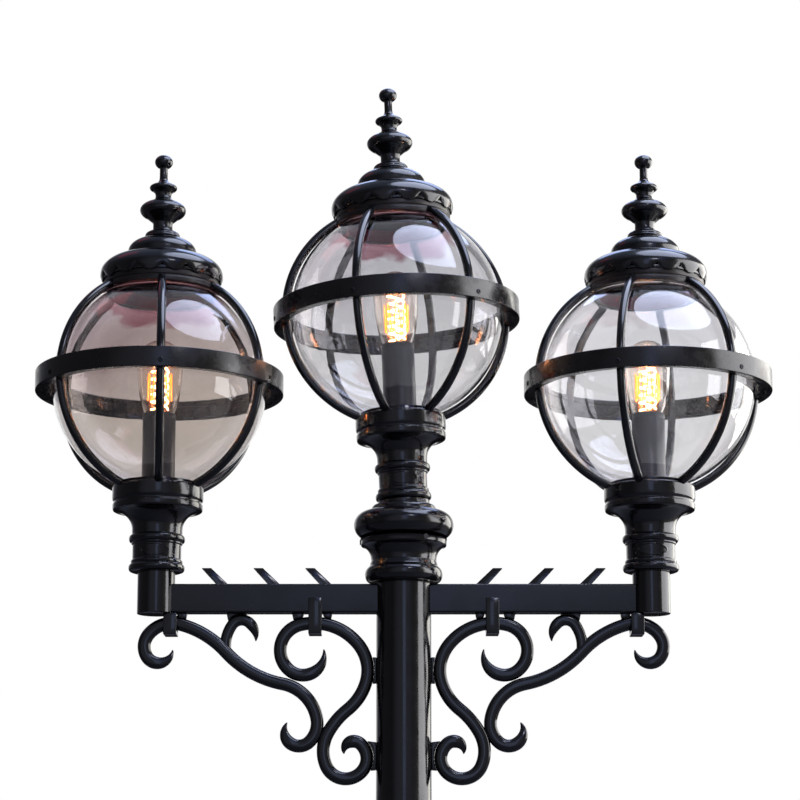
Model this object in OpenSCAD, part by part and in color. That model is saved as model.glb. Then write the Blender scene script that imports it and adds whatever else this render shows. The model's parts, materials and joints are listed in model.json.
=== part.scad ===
// Three-light lamp column head: a round tube that drops over a mast, a
// cross arm with scroll brackets, and three caged globe lanterns with
// hinged canopies. Millimetres, +Z up, origin at the centre of the socket
// mouth, X along the arms, -Y to the front.

/* [Column] */
// Outside diameter of the column tube
column_d = 76.1; // [72:0.1:84]
// Wall of the column tube
column_wall = 4.5; // [3.5:0.5:5.5]
// Radial depth to which the mast socket is bored out
socket_relief = 0.5; // [0.3:0.1:1]
// Depth of the socket that drops over the mast
socket_depth = 180; // [120:5:190]
// Height of the arms' underside above the socket mouth
arm_z = 460; // [450:5:600]

/* [Arms] */
// Distance from the column axis to a side lantern's axis
reach = 342; // [330:1:380]
// Height of the rectangular arm tube
arm_h = 40; // [36:1:46]
// Depth of the arm tube, front to back
arm_d = 25; // [22:1:30]
// Wall of the arm tube
arm_wall = 2.5; // [2:0.5:4]
// Height that the anti-climb spikes stand above the arm
spike_h = 23; // [15:1:30]
// Distance between neighbouring spikes
spike_pitch = 71.5; // [60:0.5:75]

/* [End posts] */
// Outside diameter of the posts and of the centre spigot
post_d = 52; // [48:0.5:56]
// Wall of the posts
post_wall = 3; // [2:0.5:5]
// Gap between the arm's top and a side lantern
post_show = 17; // [10:1:40]
// Length of post inside a lantern's base
spigot_h = 50; // [40:1:54]

/* [Scroll brackets] */
// Width of the scroll bar in the plane of the bracket
bar_w = 18; // [15:0.5:20]
// Thickness of the scroll bar, front to back
bar_t = 16; // [12:1:22]
// Width of the strap clips
clip_w = 18; // [14:1:22]
// Thickness of the clips' legs
clip_t = 4; // [3:0.5:6]

/* [Collar] */
// Diameter of the collar's main roll
collar_d = 138.6; // [130:0.2:150]
// Height of the collar, underside to lantern seat
collar_h = 114; // [108:1:130]
// Depth to which the column enters the collar
collar_socket = 58; // [40:1:64]
// Lean of the centre lantern to the left, in degrees
centre_lean = 2.2; // [0:0.1:3]

/* [Lantern base] */
// Diameter of the neck
neck_d = 67.6; // [64:0.2:72]
// Diameter of the neck's two beads
bead_d = 78; // [76:0.5:84]
// Diameter of the gallery ring
gallery_d = 126.6; // [122:0.2:136]
// Height of the base, underside to gallery rim
base_h = 120; // [116:1:140]

/* [Cage and globe] */
// Outside diameter of the globe
globe_d = 300; // [290:1:310]
// Wall of the globe
globe_wall = 3; // [2.5:0.5:5]
// Diameter of the globe's upper mouth
mouth_d = 148; // [140:1:150]
// Diameter of the round cage ribs
rib_d = 12; // [8:0.5:13]
// Number of ribs
rib_count = 6; // [4:1:8]
// Height of the belt round the globe
band_h = 27.5; // [24:0.5:40]
// Thickness of the belt
band_wall = 9.5; // [6:0.5:12]

/* [Canopy and finial] */
// Largest diameter of the canopy
canopy_d = 172.8; // [168:0.2:180]
// Wall of the canopy
canopy_wall = 3.8; // [3:0.1:4.4]
// Number of scallops round the skirt
scallops = 15; // [10:1:18]
// Height of the scallops
scallop_h = 9; // [4:0.5:10]
// Diameter of the finial's large disc
disc_d = 65.4; // [56:0.2:70]
// Diameter of the hinge pin
pin_d = 5; // [4:0.5:6]

/* [Lamp] */
// Outside diameter of the tube that carries the lampholder
lamp_tube_d = 46; // [44:0.5:52]
// Height of the lamp tube's mouth above the base's underside
lamp_tube_top = 224; // [215:1:230]
// Largest diameter of the bulb
bulb_d = 64; // [56:1:70]
// Height of the bulb's glass above the tube's mouth
bulb_show = 106; // [95:1:108]
// Diameter of the lamp cables
cable_d = 7; // [5:0.5:8]

/* [Hidden] */
$fn = 64;

paint = "#1b1c20";
e = 1;            // how far a cutter runs past a face
seat = 0.2;       // gap between round faces of pieces in one body
swivel = 0.1;     // running clearance of a lantern on its post
pin_play = 0.1;   // running clearance of the canopy on its hinge pin
lift = 0.3;       // gap under a lantern's thrust face

column_r = column_d / 2;
column_in = column_r - column_wall;
socket_r = column_in + socket_relief;
slot_d = arm_d - 2 * arm_wall;
slot_h = arm_h - 2 * arm_wall;
post_r = post_d / 2;
arm_top = arm_z + arm_h;
side_z = arm_top + post_show;
collar_z = arm_top + 3;
centre_z = collar_z + collar_h + lift;

// Lantern heights are measured from the base's underside.
neck_r = neck_d / 2;
bead_r = bead_d / 2;
gallery_r = gallery_d / 2;
globe_r = globe_d / 2;
globe_seat_r = gallery_r - 11;
rib_r = globe_r + 1 + rib_d / 2;
rib_out = rib_r + rib_d / 2;
seat_z = base_h + 5;
equator = seat_z + sqrt(pow(globe_r + lift, 2) - pow(globe_seat_r, 2));
globe_foot_r = globe_seat_r - 7;
mouth_r = mouth_d / 2;
mouth_z = equator + sqrt(pow(globe_r, 2) - pow(mouth_r, 2));
cage_ring_in = globe_r + 4.5;
cage_ring_out = rib_out + 0.5;
band_in = cage_ring_out + seat;
band_out = band_in + band_wall;
split_z = equator + 4;
cage_ring_h = band_h - 3;
canopy_r = canopy_d / 2;
skirt_in = canopy_r - canopy_wall;
top_ring_out = skirt_in - 0.8;
top_ring_in = mouth_r - 8;
top_ring_z = mouth_z + 0.5;
top_ring_h = 17;
top_ring_top = top_ring_z + top_ring_h;
skirt_z = top_ring_top - 2.5;
hinge_y = canopy_r + 6.5;
hinge_z = skirt_z + 1;
knuckle_r = pin_d / 2 + 2.6;
lug_w = 12;
lug_gap = 0.4;
canopy_h = 66.5;
finial_z = skirt_z + canopy_h + lift;
foot_z = base_h - 3;
foot_out = globe_seat_r + 5;    // inner end of a rib's foot
foot_angle = acos((foot_out + rib_d * 0.2) / rib_r);
top_angle = acos((top_ring_in + top_ring_out) / 2 / rib_r);
screw_z = equator - 5;
lamp_floor = base_h - 17;
tube_r = lamp_tube_d / 2;
tube_in = tube_r - 2;
holder_r = tube_in - seat;
cap_r = 13.1;
cap_z = lamp_tube_top - 34;
glass_z = cap_z + 22;
bulb_neck_h = 6;
bulb_top = lamp_tube_top + bulb_show;
bulb_r = bulb_d / 2;

lantern_x = [-reach, 0, reach];
lantern_z = [side_z, centre_z, side_z];
lantern_lean = [0, centre_lean, 0];
// Each lantern's turn on its post: a rib stands this far right of front.
lantern_turn = [6, -20, -19];

// Scroll centrelines, left bracket: [radius, sweep] rows, anticlockwise
// positive, starting at a curl's tip; x from the column axis and z from
// the arm's underside.
bracket_span = 303.95;  // column face to post axis at which the rows are drawn
bracket_k = (reach - column_r) / bracket_span;
weld_gap = 0.29;        // between the two scrolls where they are welded

// Distance from the column's axis to a place drawn d from the column's face.
function across(d) = column_r + d * bracket_k;
function drawn(rows) = [for (row = rows) [row[0] * bracket_k, row[1]]];

outer_start = [-across(279.7), -51.3 * bracket_k];
outer_heading = 264.4;
outer_rows = [[19.2, -143.5], [26.6, -68.6], [40.9, -66.4],
    [130.6, -33.4], [144.3, 36.4], [59.5, -69.5], [34.8, -55.9],
    [20.2, -167.3]];
leaf_start = [-across(206), -54.2 * bracket_k];
leaf_heading = 102.1;
leaf_rows = [[49.3, -46.7], [16, -97.3], [27.8, -56]];
inner_start = [-across(71.84), -50.3 * bracket_k];
inner_heading = 281.8;
inner_rows = [[29, -140.2], [36.1, -128], [78.9, -64.8], [57.6, -54.3],
    [74.6, -35.9], [104.8, 23.3], [50.7, 51.9], [29.1, 128.1],
    [26.3, 77.3], [13.6, 142.7]];
leaf_size = 0.86;       // a leaf bar's section against a main bar's
arc_step = 9;     // degrees between the rings of a swept bar
tip_rings = 7;    // rings over which a bar tapers to its tip

// ---------- helpers ----------

// Points of an arc about c, from angle a0 to a1.
function arc(c, r, a0, a1, n = 6) =
    [for (i = [0:n]) let (a = a0 + (a1 - a0) * i / n)
        [c[0] + r * cos(a), c[1] + r * sin(a)]];

// Points of a quarter-ellipse or other elliptic arc.
function bow(c, rx, ry, a0, a1, n = 6) =
    [for (i = [0:n]) let (a = a0 + (a1 - a0) * i / n)
        [c[0] + rx * cos(a), c[1] + ry * sin(a)]];

// A point of an arc that leaves [x, z] with heading h: [x, z, heading].
function along(x, z, h, r, s) = let (g = sign(s)) [
    x - g * r * sin(h) + g * r * sin(h + s),
    z + g * r * cos(h) - g * r * cos(h + s),
    h + s];

// Stations along a chain of arcs.
function chain(x, z, h, rows, i = 0) =
    i == len(rows) ? [] :
    let (r = rows[i][0], s = rows[i][1],
         n = max(2, ceil(abs(s) / arc_step)),
         p = [for (k = [1:n]) along(x, z, h, r, s * k / n)],
         q = p[n - 1])
    concat(p, chain(q[0], q[1], q[2], rows, i + 1));

function bar_path(start, heading, rows) =
    concat([[start[0], start[1], heading]],
        chain(start[0], start[1], heading, rows));

// Eight-sided section of a bar, w wide by t thick.
function section(w, t) = [
    [w / 2, t / 4], [w / 4, t / 2], [-w / 4, t / 2], [-w / 2, t / 4],
    [-w / 2, -t / 4], [-w / 4, -t / 2], [w / 4, -t / 2], [w / 2, -t / 4]];

// Share of full size at a ring, counted from the nearer tapered end.
function taper(i, n, head, tail) =
    let (a = head ? i : tip_rings, b = tail ? n - 1 - i : tip_rings,
         k = min(a, b, tip_rings) / tip_rings)
    0.2 + 0.8 * sin(90 * k);

// A bar swept along a path in the XZ plane.
module swept(path, shape, head = false, tail = false) {
    n = len(path);
    m = len(shape);
    points = [for (i = [0:n - 1])
        let (p = path[i], k = taper(i, n, head, tail))
        for (s = shape)
            [p[0] - k * s[0] * sin(p[2]), k * s[1],
             p[1] + k * s[0] * cos(p[2])]];
    sides = [for (i = [0:n - 2], j = [0:m - 1])
        let (a = i * m + j, b = i * m + (j + 1) % m)
        for (f = [[a, b, b + m], [a, b + m, a + m]]) f];
    ends = [[for (j = [m - 1:-1:0]) j],
            [for (j = [0:m - 1]) (n - 1) * m + j]];
    polyhedron(points, concat(sides, ends), convexity = 8);
}

// Stations of a path that lie in a box.
function within(path, x0, x1, z0, z1) =
    [for (p = path) if (p[0] >= x0 && p[0] <= x1 && p[1] >= z0
        && p[1] <= z1) p];

// A bar's edge, off its centreline to one side.
function edge(path, off) =
    [for (p = path) [p[0] - off * sin(p[2]), p[1] + off * cos(p[2])]];

module in_xz(thick) {
    rotate([90, 0, 0]) linear_extrude(thick, center = true) children();
}

module tube(ro, ri, z0, z1) {
    translate([0, 0, z0]) difference() {
        cylinder(r = ro, h = z1 - z0);
        translate([0, 0, -e]) cylinder(r = ri, h = z1 - z0 + 2 * e);
    }
}

module on_side(side) {
    if (side < 0) children();
    else mirror([1, 0, 0]) children();
}

module both_sides() {
    children();
    mirror([1, 0, 0]) children();
}

module on_seat(i) {
    translate([lantern_x[i], 0, lantern_z[i]])
        rotate([0, -lantern_lean[i], 0]) children();
}

module place(i) {
    on_seat(i) rotate([0, 0, lantern_turn[i]]) children();
}

// ---------- column and arms ----------

mast_screw_z = [socket_depth / 4, socket_depth * 3 / 4];
mast_screw_r = 5;
screw_stand = 4;     // how far a set screw stands out
stop_ring_w = 9.5;
stop_ring_h = 6;

module arm_slots() {
    translate([-column_r - e, -slot_d / 2, arm_z + arm_wall])
        cube([column_d + 2 * e, slot_d, slot_h]);
}

module mast_screws_at(r) {
    for (z = mast_screw_z, a = [30:120:270])
        translate([0, 0, z]) rotate([0, 90, a])
            translate([0, 0, column_in - e])
                cylinder(r = r, h = column_wall + 2 * e);
}

module column_tube() {
    color(paint) difference() {
        tube(column_r, column_in, 0, collar_z + collar_socket);
        translate([0, 0, -e]) cylinder(r = socket_r, h = socket_depth + e);
        arm_slots();
        mast_screws_at(mast_screw_r);
    }
}

module mast_stop_ring() {
    color(paint) tube(column_in - seat, column_in - stop_ring_w,
        socket_depth, socket_depth + stop_ring_h);
}

function collar_profile() = let (
    r = collar_d / 2, top = collar_h, roll = 19, roll_z = top - 34,
    low = r - 15.5) concat(
    [[0, 0], [low - 7, 0]],
    bow([low - 7, 10.5], 7, 10.5, -90, 60, 8),
    [[low - 6, 22]],
    bow([low - 8, 29], 0.1, 0.1, 180, 181, 1),
    bow([r - 9, 29], 15, 22, 180, 95, 8),
    [[r - 9.5, roll_z - roll - 7.5], [r - 9.5, roll_z - roll + 4]],
    bow([r - roll, roll_z], roll, roll, -60, 80, 12),
    [[r - 23, roll_z + roll]],
    bow([r - 29, top - 14], 5, 8, 0, 80, 4),
    [[0, top - 6]]);

module collar() {
    bore = post_r - post_wall;
    color(paint) difference() {
        union() {
            translate([0, 0, collar_z])
                rotate_extrude() polygon(collar_profile());
            on_seat(1) translate([0, 0, -lift]) {
                translate([0, 0, -10]) cylinder(r = bead_r - 3, h = 10);
                translate([0, 0, -10])
                    cylinder(r = post_r, h = spigot_h + 10);
            }
        }
        translate([0, 0, collar_z]) {
            translate([0, 0, -e])
                cylinder(r = column_r + seat, h = collar_socket + e + lift);
            cylinder(r = bore - 3, h = collar_h - 10);
            collar_screws_at(4, 30);
        }
        on_seat(1) translate([0, 0, -14])
            cylinder(r = bore, h = spigot_h + 20);
    }
}

module collar_screws_at(r, depth) {
    for (a = [-60, 60, 180])
        translate([0, 0, collar_screw_z]) rotate([0, 90, a])
            translate([0, 0, column_r + seat / 2])
                cylinder(r = r, h = depth);
}
collar_screw_z = collar_h - 57.5;

module arm(side) {
    color(paint) on_side(side) difference() {
        translate([-reach, -arm_d / 2, arm_z])
            cube([reach, arm_d, arm_h]);
        translate([-reach - e, arm_wall - arm_d / 2, arm_z + arm_wall])
            cube([reach + 2 * e, arm_d - 2 * arm_wall,
                arm_h - 2 * arm_wall]);
        translate([0, 0, arm_z - e])
            cylinder(r = column_r + seat, h = arm_h + 2 * e);
        translate([-reach, 0, arm_z - e])
            cylinder(r = post_r + seat, h = arm_h + 2 * e);
    }
}

module post(side) {
    color(paint) on_side(side) translate([-reach, 0, 0]) difference() {
        translate([0, 0, arm_z - 1])
            cylinder(r = post_r, h = side_z + spigot_h - arm_z + 1);
        translate([0, 0, arm_z + 4])
            cylinder(r = post_r - post_wall, h = side_z + spigot_h);
        translate([0, -slot_d / 2, arm_z + 4])
            cube([post_r + e, slot_d, arm_h - 4 - arm_wall]);
    }
}

module climb_spikes() {
    rake = spike_h;
    width = 16;
    color(paint) both_sides() for (i = [0:2])
        translate([-(spike_pitch * (i + 1.5)), 0, arm_top]) in_xz(8)
            polygon([[-width / 2, 0], [width / 2, 0],
                [width / 2 - rake - 1, spike_h],
                [-width / 2 - rake + 2, spike_h]]);
}

// ---------- scroll brackets ----------

outer_path = bar_path(outer_start, outer_heading, drawn(outer_rows));
leaf_path = bar_path(leaf_start, leaf_heading, drawn(leaf_rows));
inner_path = bar_path(inner_start, inner_heading, drawn(inner_rows));

// The stretch of the inner bar to which the outer one is fitted and welded.
weld_path = within(inner_path, -across(80), -across(50),
    -222 * bracket_k, -145 * bracket_k);

module outer_scroll(side) {
    color(paint) on_side(side) translate([0, 0, arm_z]) difference() {
        union() {
            swept(outer_path, section(bar_w, bar_t), true, true);
            swept(leaf_path, section(bar_w * leaf_size, bar_t * leaf_size),
                false, true);
        }
        swept(weld_path,
            section(bar_w + 2 * weld_gap, bar_t + 4 * weld_gap));
    }
}

module inner_scroll(side) {
    color(paint) on_side(side) translate([0, 0, arm_z])
        swept(inner_path, section(bar_w, bar_t), true, true);
}

clip_inner_x = across(83.95);
clip_outer_x = reach - 21;
clip_drop = 6;      // from the bar's underside to the clip's
near_arm = -40;     // lowest a bar runs under a clip
flare = 2;          // how much a packer widens, each way, up to the arm

// Heights at which a line crosses x.
function crossings(line, x) = [for (i = [0:len(line) - 2])
    let (a = line[i], b = line[i + 1])
        if ((a[0] - x) * (b[0] - x) <= 0 && a[0] != b[0])
            a[1] + (b[1] - a[1]) * (x - a[0]) / (b[0] - a[0])];

// Lowest height of a bar between two places, near the arm.
function underside(path, x0, x1) = min([for (off = [-1, 1])
    let (line = edge(path, off * bar_w / 2))
        for (z = concat(crossings(line, x0), crossings(line, x1),
            [for (p = line) if (p[0] > x0 && p[0] < x1) p[1]]))
            if (z > near_arm) z]);

// A strap round the bar, hung from the arm or from the post's foot.
module clip(x, top, path) {
    inside = arm_d / 2;
    bar_foot = underside(path, -x - clip_w / 2, -x + clip_w / 2) - seat;
    bottom = bar_foot - clip_drop;
    translate([-x - clip_w / 2, 0, arm_z]) difference() {
        translate([0, -inside - clip_t, bottom])
            cube([clip_w, 2 * (inside + clip_t), top - bottom]);
        translate([-e, -inside, bar_foot])
            cube([clip_w + 2 * e, 2 * inside, top - bar_foot + e]);
    }
}

module scroll_clips() {
    color(paint) both_sides() {
        clip(clip_inner_x, arm_h / 2, inner_path);
        clip(clip_outer_x, -e, outer_path);
    }
}

// A packer between a bar and the arm's underside.
module arm_packer(path, x0, x1, size = 1) {
    a = -across(x1);
    b = -across(x0);
    line = [for (p = edge(path, bar_w * size / 2 + seat))
        if (p[1] > near_arm) p];
    in_xz(bar_t - 4) polygon(concat(
        [[a, max(crossings(line, a))]],
        [for (p = line) if (p[0] > a && p[0] < b) p],
        [[b, max(crossings(line, b))], [b + flare, 0], [a - flare, 0]]));
}

// A pad between a bar and the column.
module column_pad(path, z0, z1, off) {
    s = within(path, -across(25), -across(2), z0 * bracket_k, z1 * bracket_k);
    n = len(s);
    ends = [[0, s[n - 1][1]], [0, s[0][1]]];
    difference() {
        in_xz(bar_t - 2) polygon(concat(edge(s, off), ends));
        translate([0, 0, 2 * z0])
            cylinder(r = column_r + seat, h = -2 * z0);
    }
}

module scroll_packers() {
    color(paint) both_sides() translate([0, 0, arm_z]) {
        arm_packer(outer_path, 262, 273);
        arm_packer(leaf_path, 179, 204, leaf_size);
        arm_packer(inner_path, 101, 114);
        arm_packer(inner_path, 62, 72);
        column_pad(inner_path, -104, -60, bar_w / 2 + seat);
        column_pad(inner_path, -213, -181, -bar_w / 2 - seat);
    }
}

// ---------- wiring in the column ----------

block_top = socket_depth + 100;
cable_bend = 4 * cable_d;
cable_z = arm_z + arm_wall + cable_d / 2 + 4.3;

module terminal_block() {
    color("#d8d4c8") intersection() {
        translate([-24, -10, block_top - 60]) cube([48, 60, 60]);
        cylinder(r = column_in - seat, h = block_top + e);
    }
}

function ring8(d) = [for (a = [22.5:45:360]) [d / 2 * cos(a), d / 2 * sin(a)]];

// Side lamp's cable: up the column, out along the arm and up the post.
function side_route(top) = let (
    x0 = -12, bend = cable_bend, x1 = -reach) [
    [x0, block_top + lift, 90], [x0, cable_z - bend, 90],
    for (a = [15:15:90]) [x0 - bend + bend * cos(a),
        cable_z - bend + bend * sin(a), 90 + a],
    for (k = [1:8]) [x0 - bend - (reach + x0 - 2 * bend) * k / 9,
        cable_z, 180],
    for (a = [0:15:90]) [x1 + bend - bend * sin(a),
        cable_z + bend - bend * cos(a), 180 - a],
    [x1, top, 90]];

module lamp_cables() {
    shape = ring8(cable_d);
    color("#e8e8e8") {
        both_sides()
            swept(side_route(side_z + cap_z - 9 - lift), shape);
        translate([0, 0, block_top + lift])
            cylinder(d = cable_d, h = centre_z - block_top - lift);
        on_seat(1) sphere(d = cable_d);
        on_seat(1) cylinder(d = cable_d, h = cap_z - 9 - lift);
    }
}

// Screws that grip the mast and lock the collar to the column.
module grub_screws() {
    color("#3a3b3e") {
        for (z = mast_screw_z, a = [30:120:270])
            translate([0, 0, z]) rotate([0, 90, a])
                translate([0, 0, socket_r + seat])
                    cylinder(r = mast_screw_r - seat,
                        h = column_r - socket_r + screw_stand);
        translate([0, 0, collar_z]) collar_screws_at(4 - seat,
            collar_d / 2 - 9.5 - column_r + 1);
    }
}

// ---------- lantern ----------

function base_profile() = let (
    cone = gallery_r - neck_r - 1.7, g = gallery_r, b = bead_r, n = neck_r)
    concat(
    [[0, 0], [b - 6, 0], [b - 3, 1]],
    bow([b - 4, 6], 4, 5.5, -60, 90, 8),
    [[n + 2, 13], [n + 2, 16], [n, 17], [n, 38], [n + 1.5, 39],
     [n + 1.5, 41]],
    bow([b - 4, 46.5], 4, 5.5, -90, 90, 8),
    [[n + 1.2, 53], [n + 1.2, 56]],
    bow([g - 1.7, 59], cone - 1.2, base_h - 93, 178, 95, 9),
    [[g - 1.5, base_h - 34], [g - 0.6, base_h - 31],
     [g - 0.6, base_h - 25.5], [g - 2.2, base_h - 24.5],
     [g - 2.2, base_h - 22], [g - 1, base_h - 20.5], [g, base_h - 18],
     [g, base_h - 2], [g - 1.5, base_h], [globe_seat_r + 4.5, base_h],
     [globe_seat_r + 4.5, base_h + 5],
     [globe_foot_r - 2, base_h + 5], [globe_foot_r - 2, lamp_floor],
     [0, lamp_floor]]);

// The notch in the gallery rim that a rib's foot lies in.
module foot_notch(w) {
    translate([0, -globe_seat_r - 4.5, foot_z]) rotate([90, 0, 0])
        cylinder(r = w / 2, h = gallery_r - globe_seat_r);
    translate([-w / 2, -gallery_r - e, foot_z])
        cube([w, gallery_r - globe_seat_r - 4.5 + e, 10]);
}

module base(i) {
    color(paint) place(i) difference() {
        union() {
            rotate_extrude() polygon(base_profile());
            name_plate(i);
        }
        sphere_at(globe_r + lift);
        translate([0, 0, -e])
            cylinder(r = post_r + swivel, h = spigot_h + lift + e);
        cylinder(r = 12, h = base_h);
        for (k = [0:rib_count - 1]) rotate([0, 0, k * 360 / rib_count])
            foot_notch(rib_d + 0.6);
        neck_screws_at(3, neck_r);
    }
}

// A bare oval plate on the neck, facing the front on every lantern.
module name_plate(i) {
    intersection() {
        rotate([0, 0, -lantern_turn[i]]) translate([0, -bead_r, 0])
            rotate([90, 0, 0]) linear_extrude(2 * bead_r, center = true)
                polygon(bow([0, 28], 21, 8.5, 0, 345, 23));
        tube(neck_r + 1.2, neck_r - 2, 17, 39);
    }
}

module neck_screws_at(r, reach_out) {
    for (a = [30, 150]) translate([0, 0, 28]) rotate([0, 90, a])
        translate([0, 0, post_r + swivel / 2])
            cylinder(r = r, h = reach_out - post_r + e);
}

module sphere_at(r) {
    translate([0, 0, equator]) sphere(r = r, $fn = 96);
}

// One rib, from the equator towards a pole: side is +1 up, -1 down.
module rib(side, angle) {
    translate([0, 0, equator]) rotate([0, 0, -90]) rotate([90, 0, 0])
        rotate([0, 0, side > 0 ? 0 : -angle])
            rotate_extrude(angle = angle)
                translate([rib_r, 0]) circle(d = rib_d);
}

module lower_cage(i) {
    color(paint) place(i) difference() {
        union() {
            tube(cage_ring_out, cage_ring_in, equator - cage_ring_h / 2,
                split_z - seat / 2);
            for (k = [0:rib_count - 1])
                rotate([0, 0, k * 360 / rib_count]) {
                    rib(-1, foot_angle);
                    translate([0, -foot_out, foot_z])
                        rotate([90, 0, 0]) cylinder(d = rib_d,
                            h = gallery_r - foot_out);
                }
        }
        band_screw_holes();
        tube(gallery_r * 3, 1, split_z - seat / 2, split_z + 40);
    }
}

module upper_cage(i) {
    color(paint) place(i) difference() {
        union() {
            tube(cage_ring_out, cage_ring_in, split_z + seat / 2,
                equator + cage_ring_h / 2);
            for (k = [0:rib_count - 1])
                rotate([0, 0, k * 360 / rib_count]) rib(1, top_angle);
            tube(top_ring_out, top_ring_in, top_ring_z, top_ring_top);
            tube(mouth_r - 4, top_ring_in, mouth_z - 14, top_ring_z + e);
            for (s = [-1, 1]) translate([s * (lug_w / 2 + lug_gap
                + lug_w / 4), 0, 0]) hinge_lug(lug_w / 2);
        }
        translate([0, 0, top_ring_z - e])
            cylinder(r = top_ring_in, h = top_ring_h + 2 * e);
        translate([0, 0, mouth_z - 14 - e])
            cylinder(r = top_ring_in, h = 30);
        tube(gallery_r * 3, 1, split_z - 40, split_z + seat / 2);
        hinge_bore(pin_d / 2 + seat / 2);
    }
}

// A lug from the top ring out to the hinge axis, under the skirt.
module hinge_lug(w) {
    translate([-w / 2, top_ring_out - 6, top_ring_z + 2])
        cube([w, hinge_y - top_ring_out + 6, skirt_z - top_ring_z - 2.4]);
    translate([-w / 2, hinge_y, hinge_z]) rotate([0, 90, 0])
        cylinder(r = knuckle_r, h = w);
}

module hinge_bore(r) {
    translate([-lug_w * 2, hinge_y, hinge_z]) rotate([0, 90, 0])
        cylinder(r = r, h = lug_w * 4);
}

module band(i) {
    color(paint) place(i) difference() {
        translate([0, 0, equator]) rotate_extrude() polygon([
            [band_in, -band_h / 2], [band_out - 1.5, -band_h / 2],
            [band_out, -band_h / 2 + 1.5], [band_out, band_h / 2 - 1.5],
            [band_out - 1.5, band_h / 2], [band_in, band_h / 2]]);
        band_screw_holes();
    }
}

module band_screw_holes() {
    for (k = [0:rib_count - 1])
        rotate([0, 0, k * 360 / rib_count])
            translate([0, -cage_ring_in - 4, screw_z]) rotate([90, 0, 0])
                cylinder(r = 2.5 + seat, h = band_out - cage_ring_in);
}

module lantern_screws(i) {
    color("#2a2b2e") place(i) {
        for (k = [0:rib_count - 1])
            rotate([0, 0, k * 360 / rib_count])
                translate([0, -cage_ring_in - 4.3, screw_z])
                    rotate([90, 0, 0]) {
                        cylinder(r = 2.5, h = band_out - cage_ring_in - 3.5);
                        translate([0, 0, band_out - cage_ring_in - 4])
                            cylinder(r = 3.4, h = 1);
                    }
        neck_screws_at(3 - seat, neck_r - 1);
    }
}

module globe(i) {
    color("#dfe6ea", 0.35) place(i) difference() {
        sphere_at(globe_r);
        sphere_at(globe_r - globe_wall);
        translate([0, 0, equator]) cylinder(r = mouth_r, h = globe_r + e);
        cylinder(r = globe_foot_r, h = equator);
    }
}

module lamp_tube(i) {
    color("#2b2522") place(i) difference() {
        union() {
            translate([0, 0, lamp_floor + lift])
                cylinder(r = tube_r, h = lamp_tube_top - lamp_floor - lift);
            translate([0, 0, lamp_floor + lift])
                cylinder(r = tube_r + 9, h = 4);
        }
        translate([0, 0, lamp_floor]) cylinder(r = tube_in,
            h = lamp_tube_top);
    }
}

module lampholder(i) {
    color("#eceae4") place(i) difference() {
        translate([0, 0, cap_z - 9])
            cylinder(r = holder_r, h = glass_z + bulb_neck_h - cap_z + 8);
        translate([0, 0, cap_z - 4]) cylinder(r = cap_r + seat, h = 60);
    }
}

function bulb_side(off) = let (
    neck = cap_r - 1.5 - off, r = bulb_r - off, wide = bulb_top - bulb_r)
    concat(
    [[neck, glass_z]],
    bow([neck, wide], r - neck, wide - glass_z - bulb_neck_h, -90, 0, 10),
    bow([0, wide], r, bulb_r - off, 0, 88, 10),
    [[0, bulb_top - off]]);

module bulb_glass(i) {
    color("#e8a050", 0.4) place(i) rotate_extrude() polygon(concat(
        bulb_side(0), [for (k = [len(bulb_side(1)) - 1:-1:0])
            bulb_side(1)[k]]));
}

module bulb_cap(i) {
    color("#c8a050") place(i) {
        difference() {
            translate([0, 0, cap_z]) cylinder(r = cap_r, h = 26);
            translate([0, 0, glass_z - 0.3])
                cylinder(r = cap_r - 1.3, h = 20);
        }
        translate([0, 0, cap_z - 2.5]) cylinder(r = 4.5, h = 3);
    }
}

// The glass stem with the zigzag filament strung round it.
module filament(i) {
    cage_r = 13;
    low = lamp_tube_top + 8;
    high = bulb_top - 30;
    color("#ffb050") place(i) {
        translate([0, 0, glass_z]) cylinder(r = 3, h = low + 20 - glass_z);
        translate([0, 0, low + 19]) cylinder(r = 1.2, h = high - low - 18);
        for (z = [low + 2, high]) translate([0, 0, z])
            cylinder(r = cage_r, h = 1.2);
        for (a = [0:45:315]) rotate([0, 0, a])
            translate([cage_r - 1.2, 0, low + 2])
                cylinder(r = 0.7, h = high - low - 1);
    }
}

// ---------- canopy ----------

// Right half of the canopy's outside, heights from the skirt's edge.
function canopy_side(off) = let (
    r = canopy_r - off, c = canopy_r / 2, step = canopy_r - 37.6 - off)
    concat(
    [[r - 2.4, 0], [r, scallop_h - 1], [r, 13]],
    bow([c, 13], r - c, 26.8 - off, 8, 75, 8),
    [[step, 39.8 - off], [step - 0.4, 46.5]],
    bow([19.8, 46.5], step - 20.2, 19.7 - off, 6, 78, 6));

module canopy(i) {
    inner = canopy_side(canopy_wall);
    color(paint) place(i) translate([0, 0, skirt_z]) difference() {
        union() {
            rotate_extrude() polygon(concat([[skirt_in, 0]],
                canopy_side(0), [[5, canopy_h], [5, canopy_h
                - canopy_wall]], [for (k = [len(inner) - 1:-1:1])
                inner[k]]));
            tube(canopy_r - 3, top_ring_in + 4,
                top_ring_top - skirt_z + lift, top_ring_top - skirt_z + 4);
            translate([0, 0, -skirt_z]) canopy_lug();
        }
        scallop_cuts();
        translate([0, 0, -skirt_z]) hinge_bore(pin_d / 2 + pin_play);
    }
}

// The canopy's knuckle, between the two lugs of the cage.
module canopy_lug() {
    w = lug_w - lug_gap;
    translate([-w / 2, canopy_r - 3, skirt_z + scallop_h + 1])
        cube([w, hinge_y - canopy_r + 3, 6]);
    translate([-w / 2, hinge_y, hinge_z]) rotate([0, 90, 0])
        cylinder(r = knuckle_r, h = w);
    translate([-w / 2, hinge_y - knuckle_r, hinge_z])
        cube([w, 2 * knuckle_r, scallop_h + 3]);
}

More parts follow.
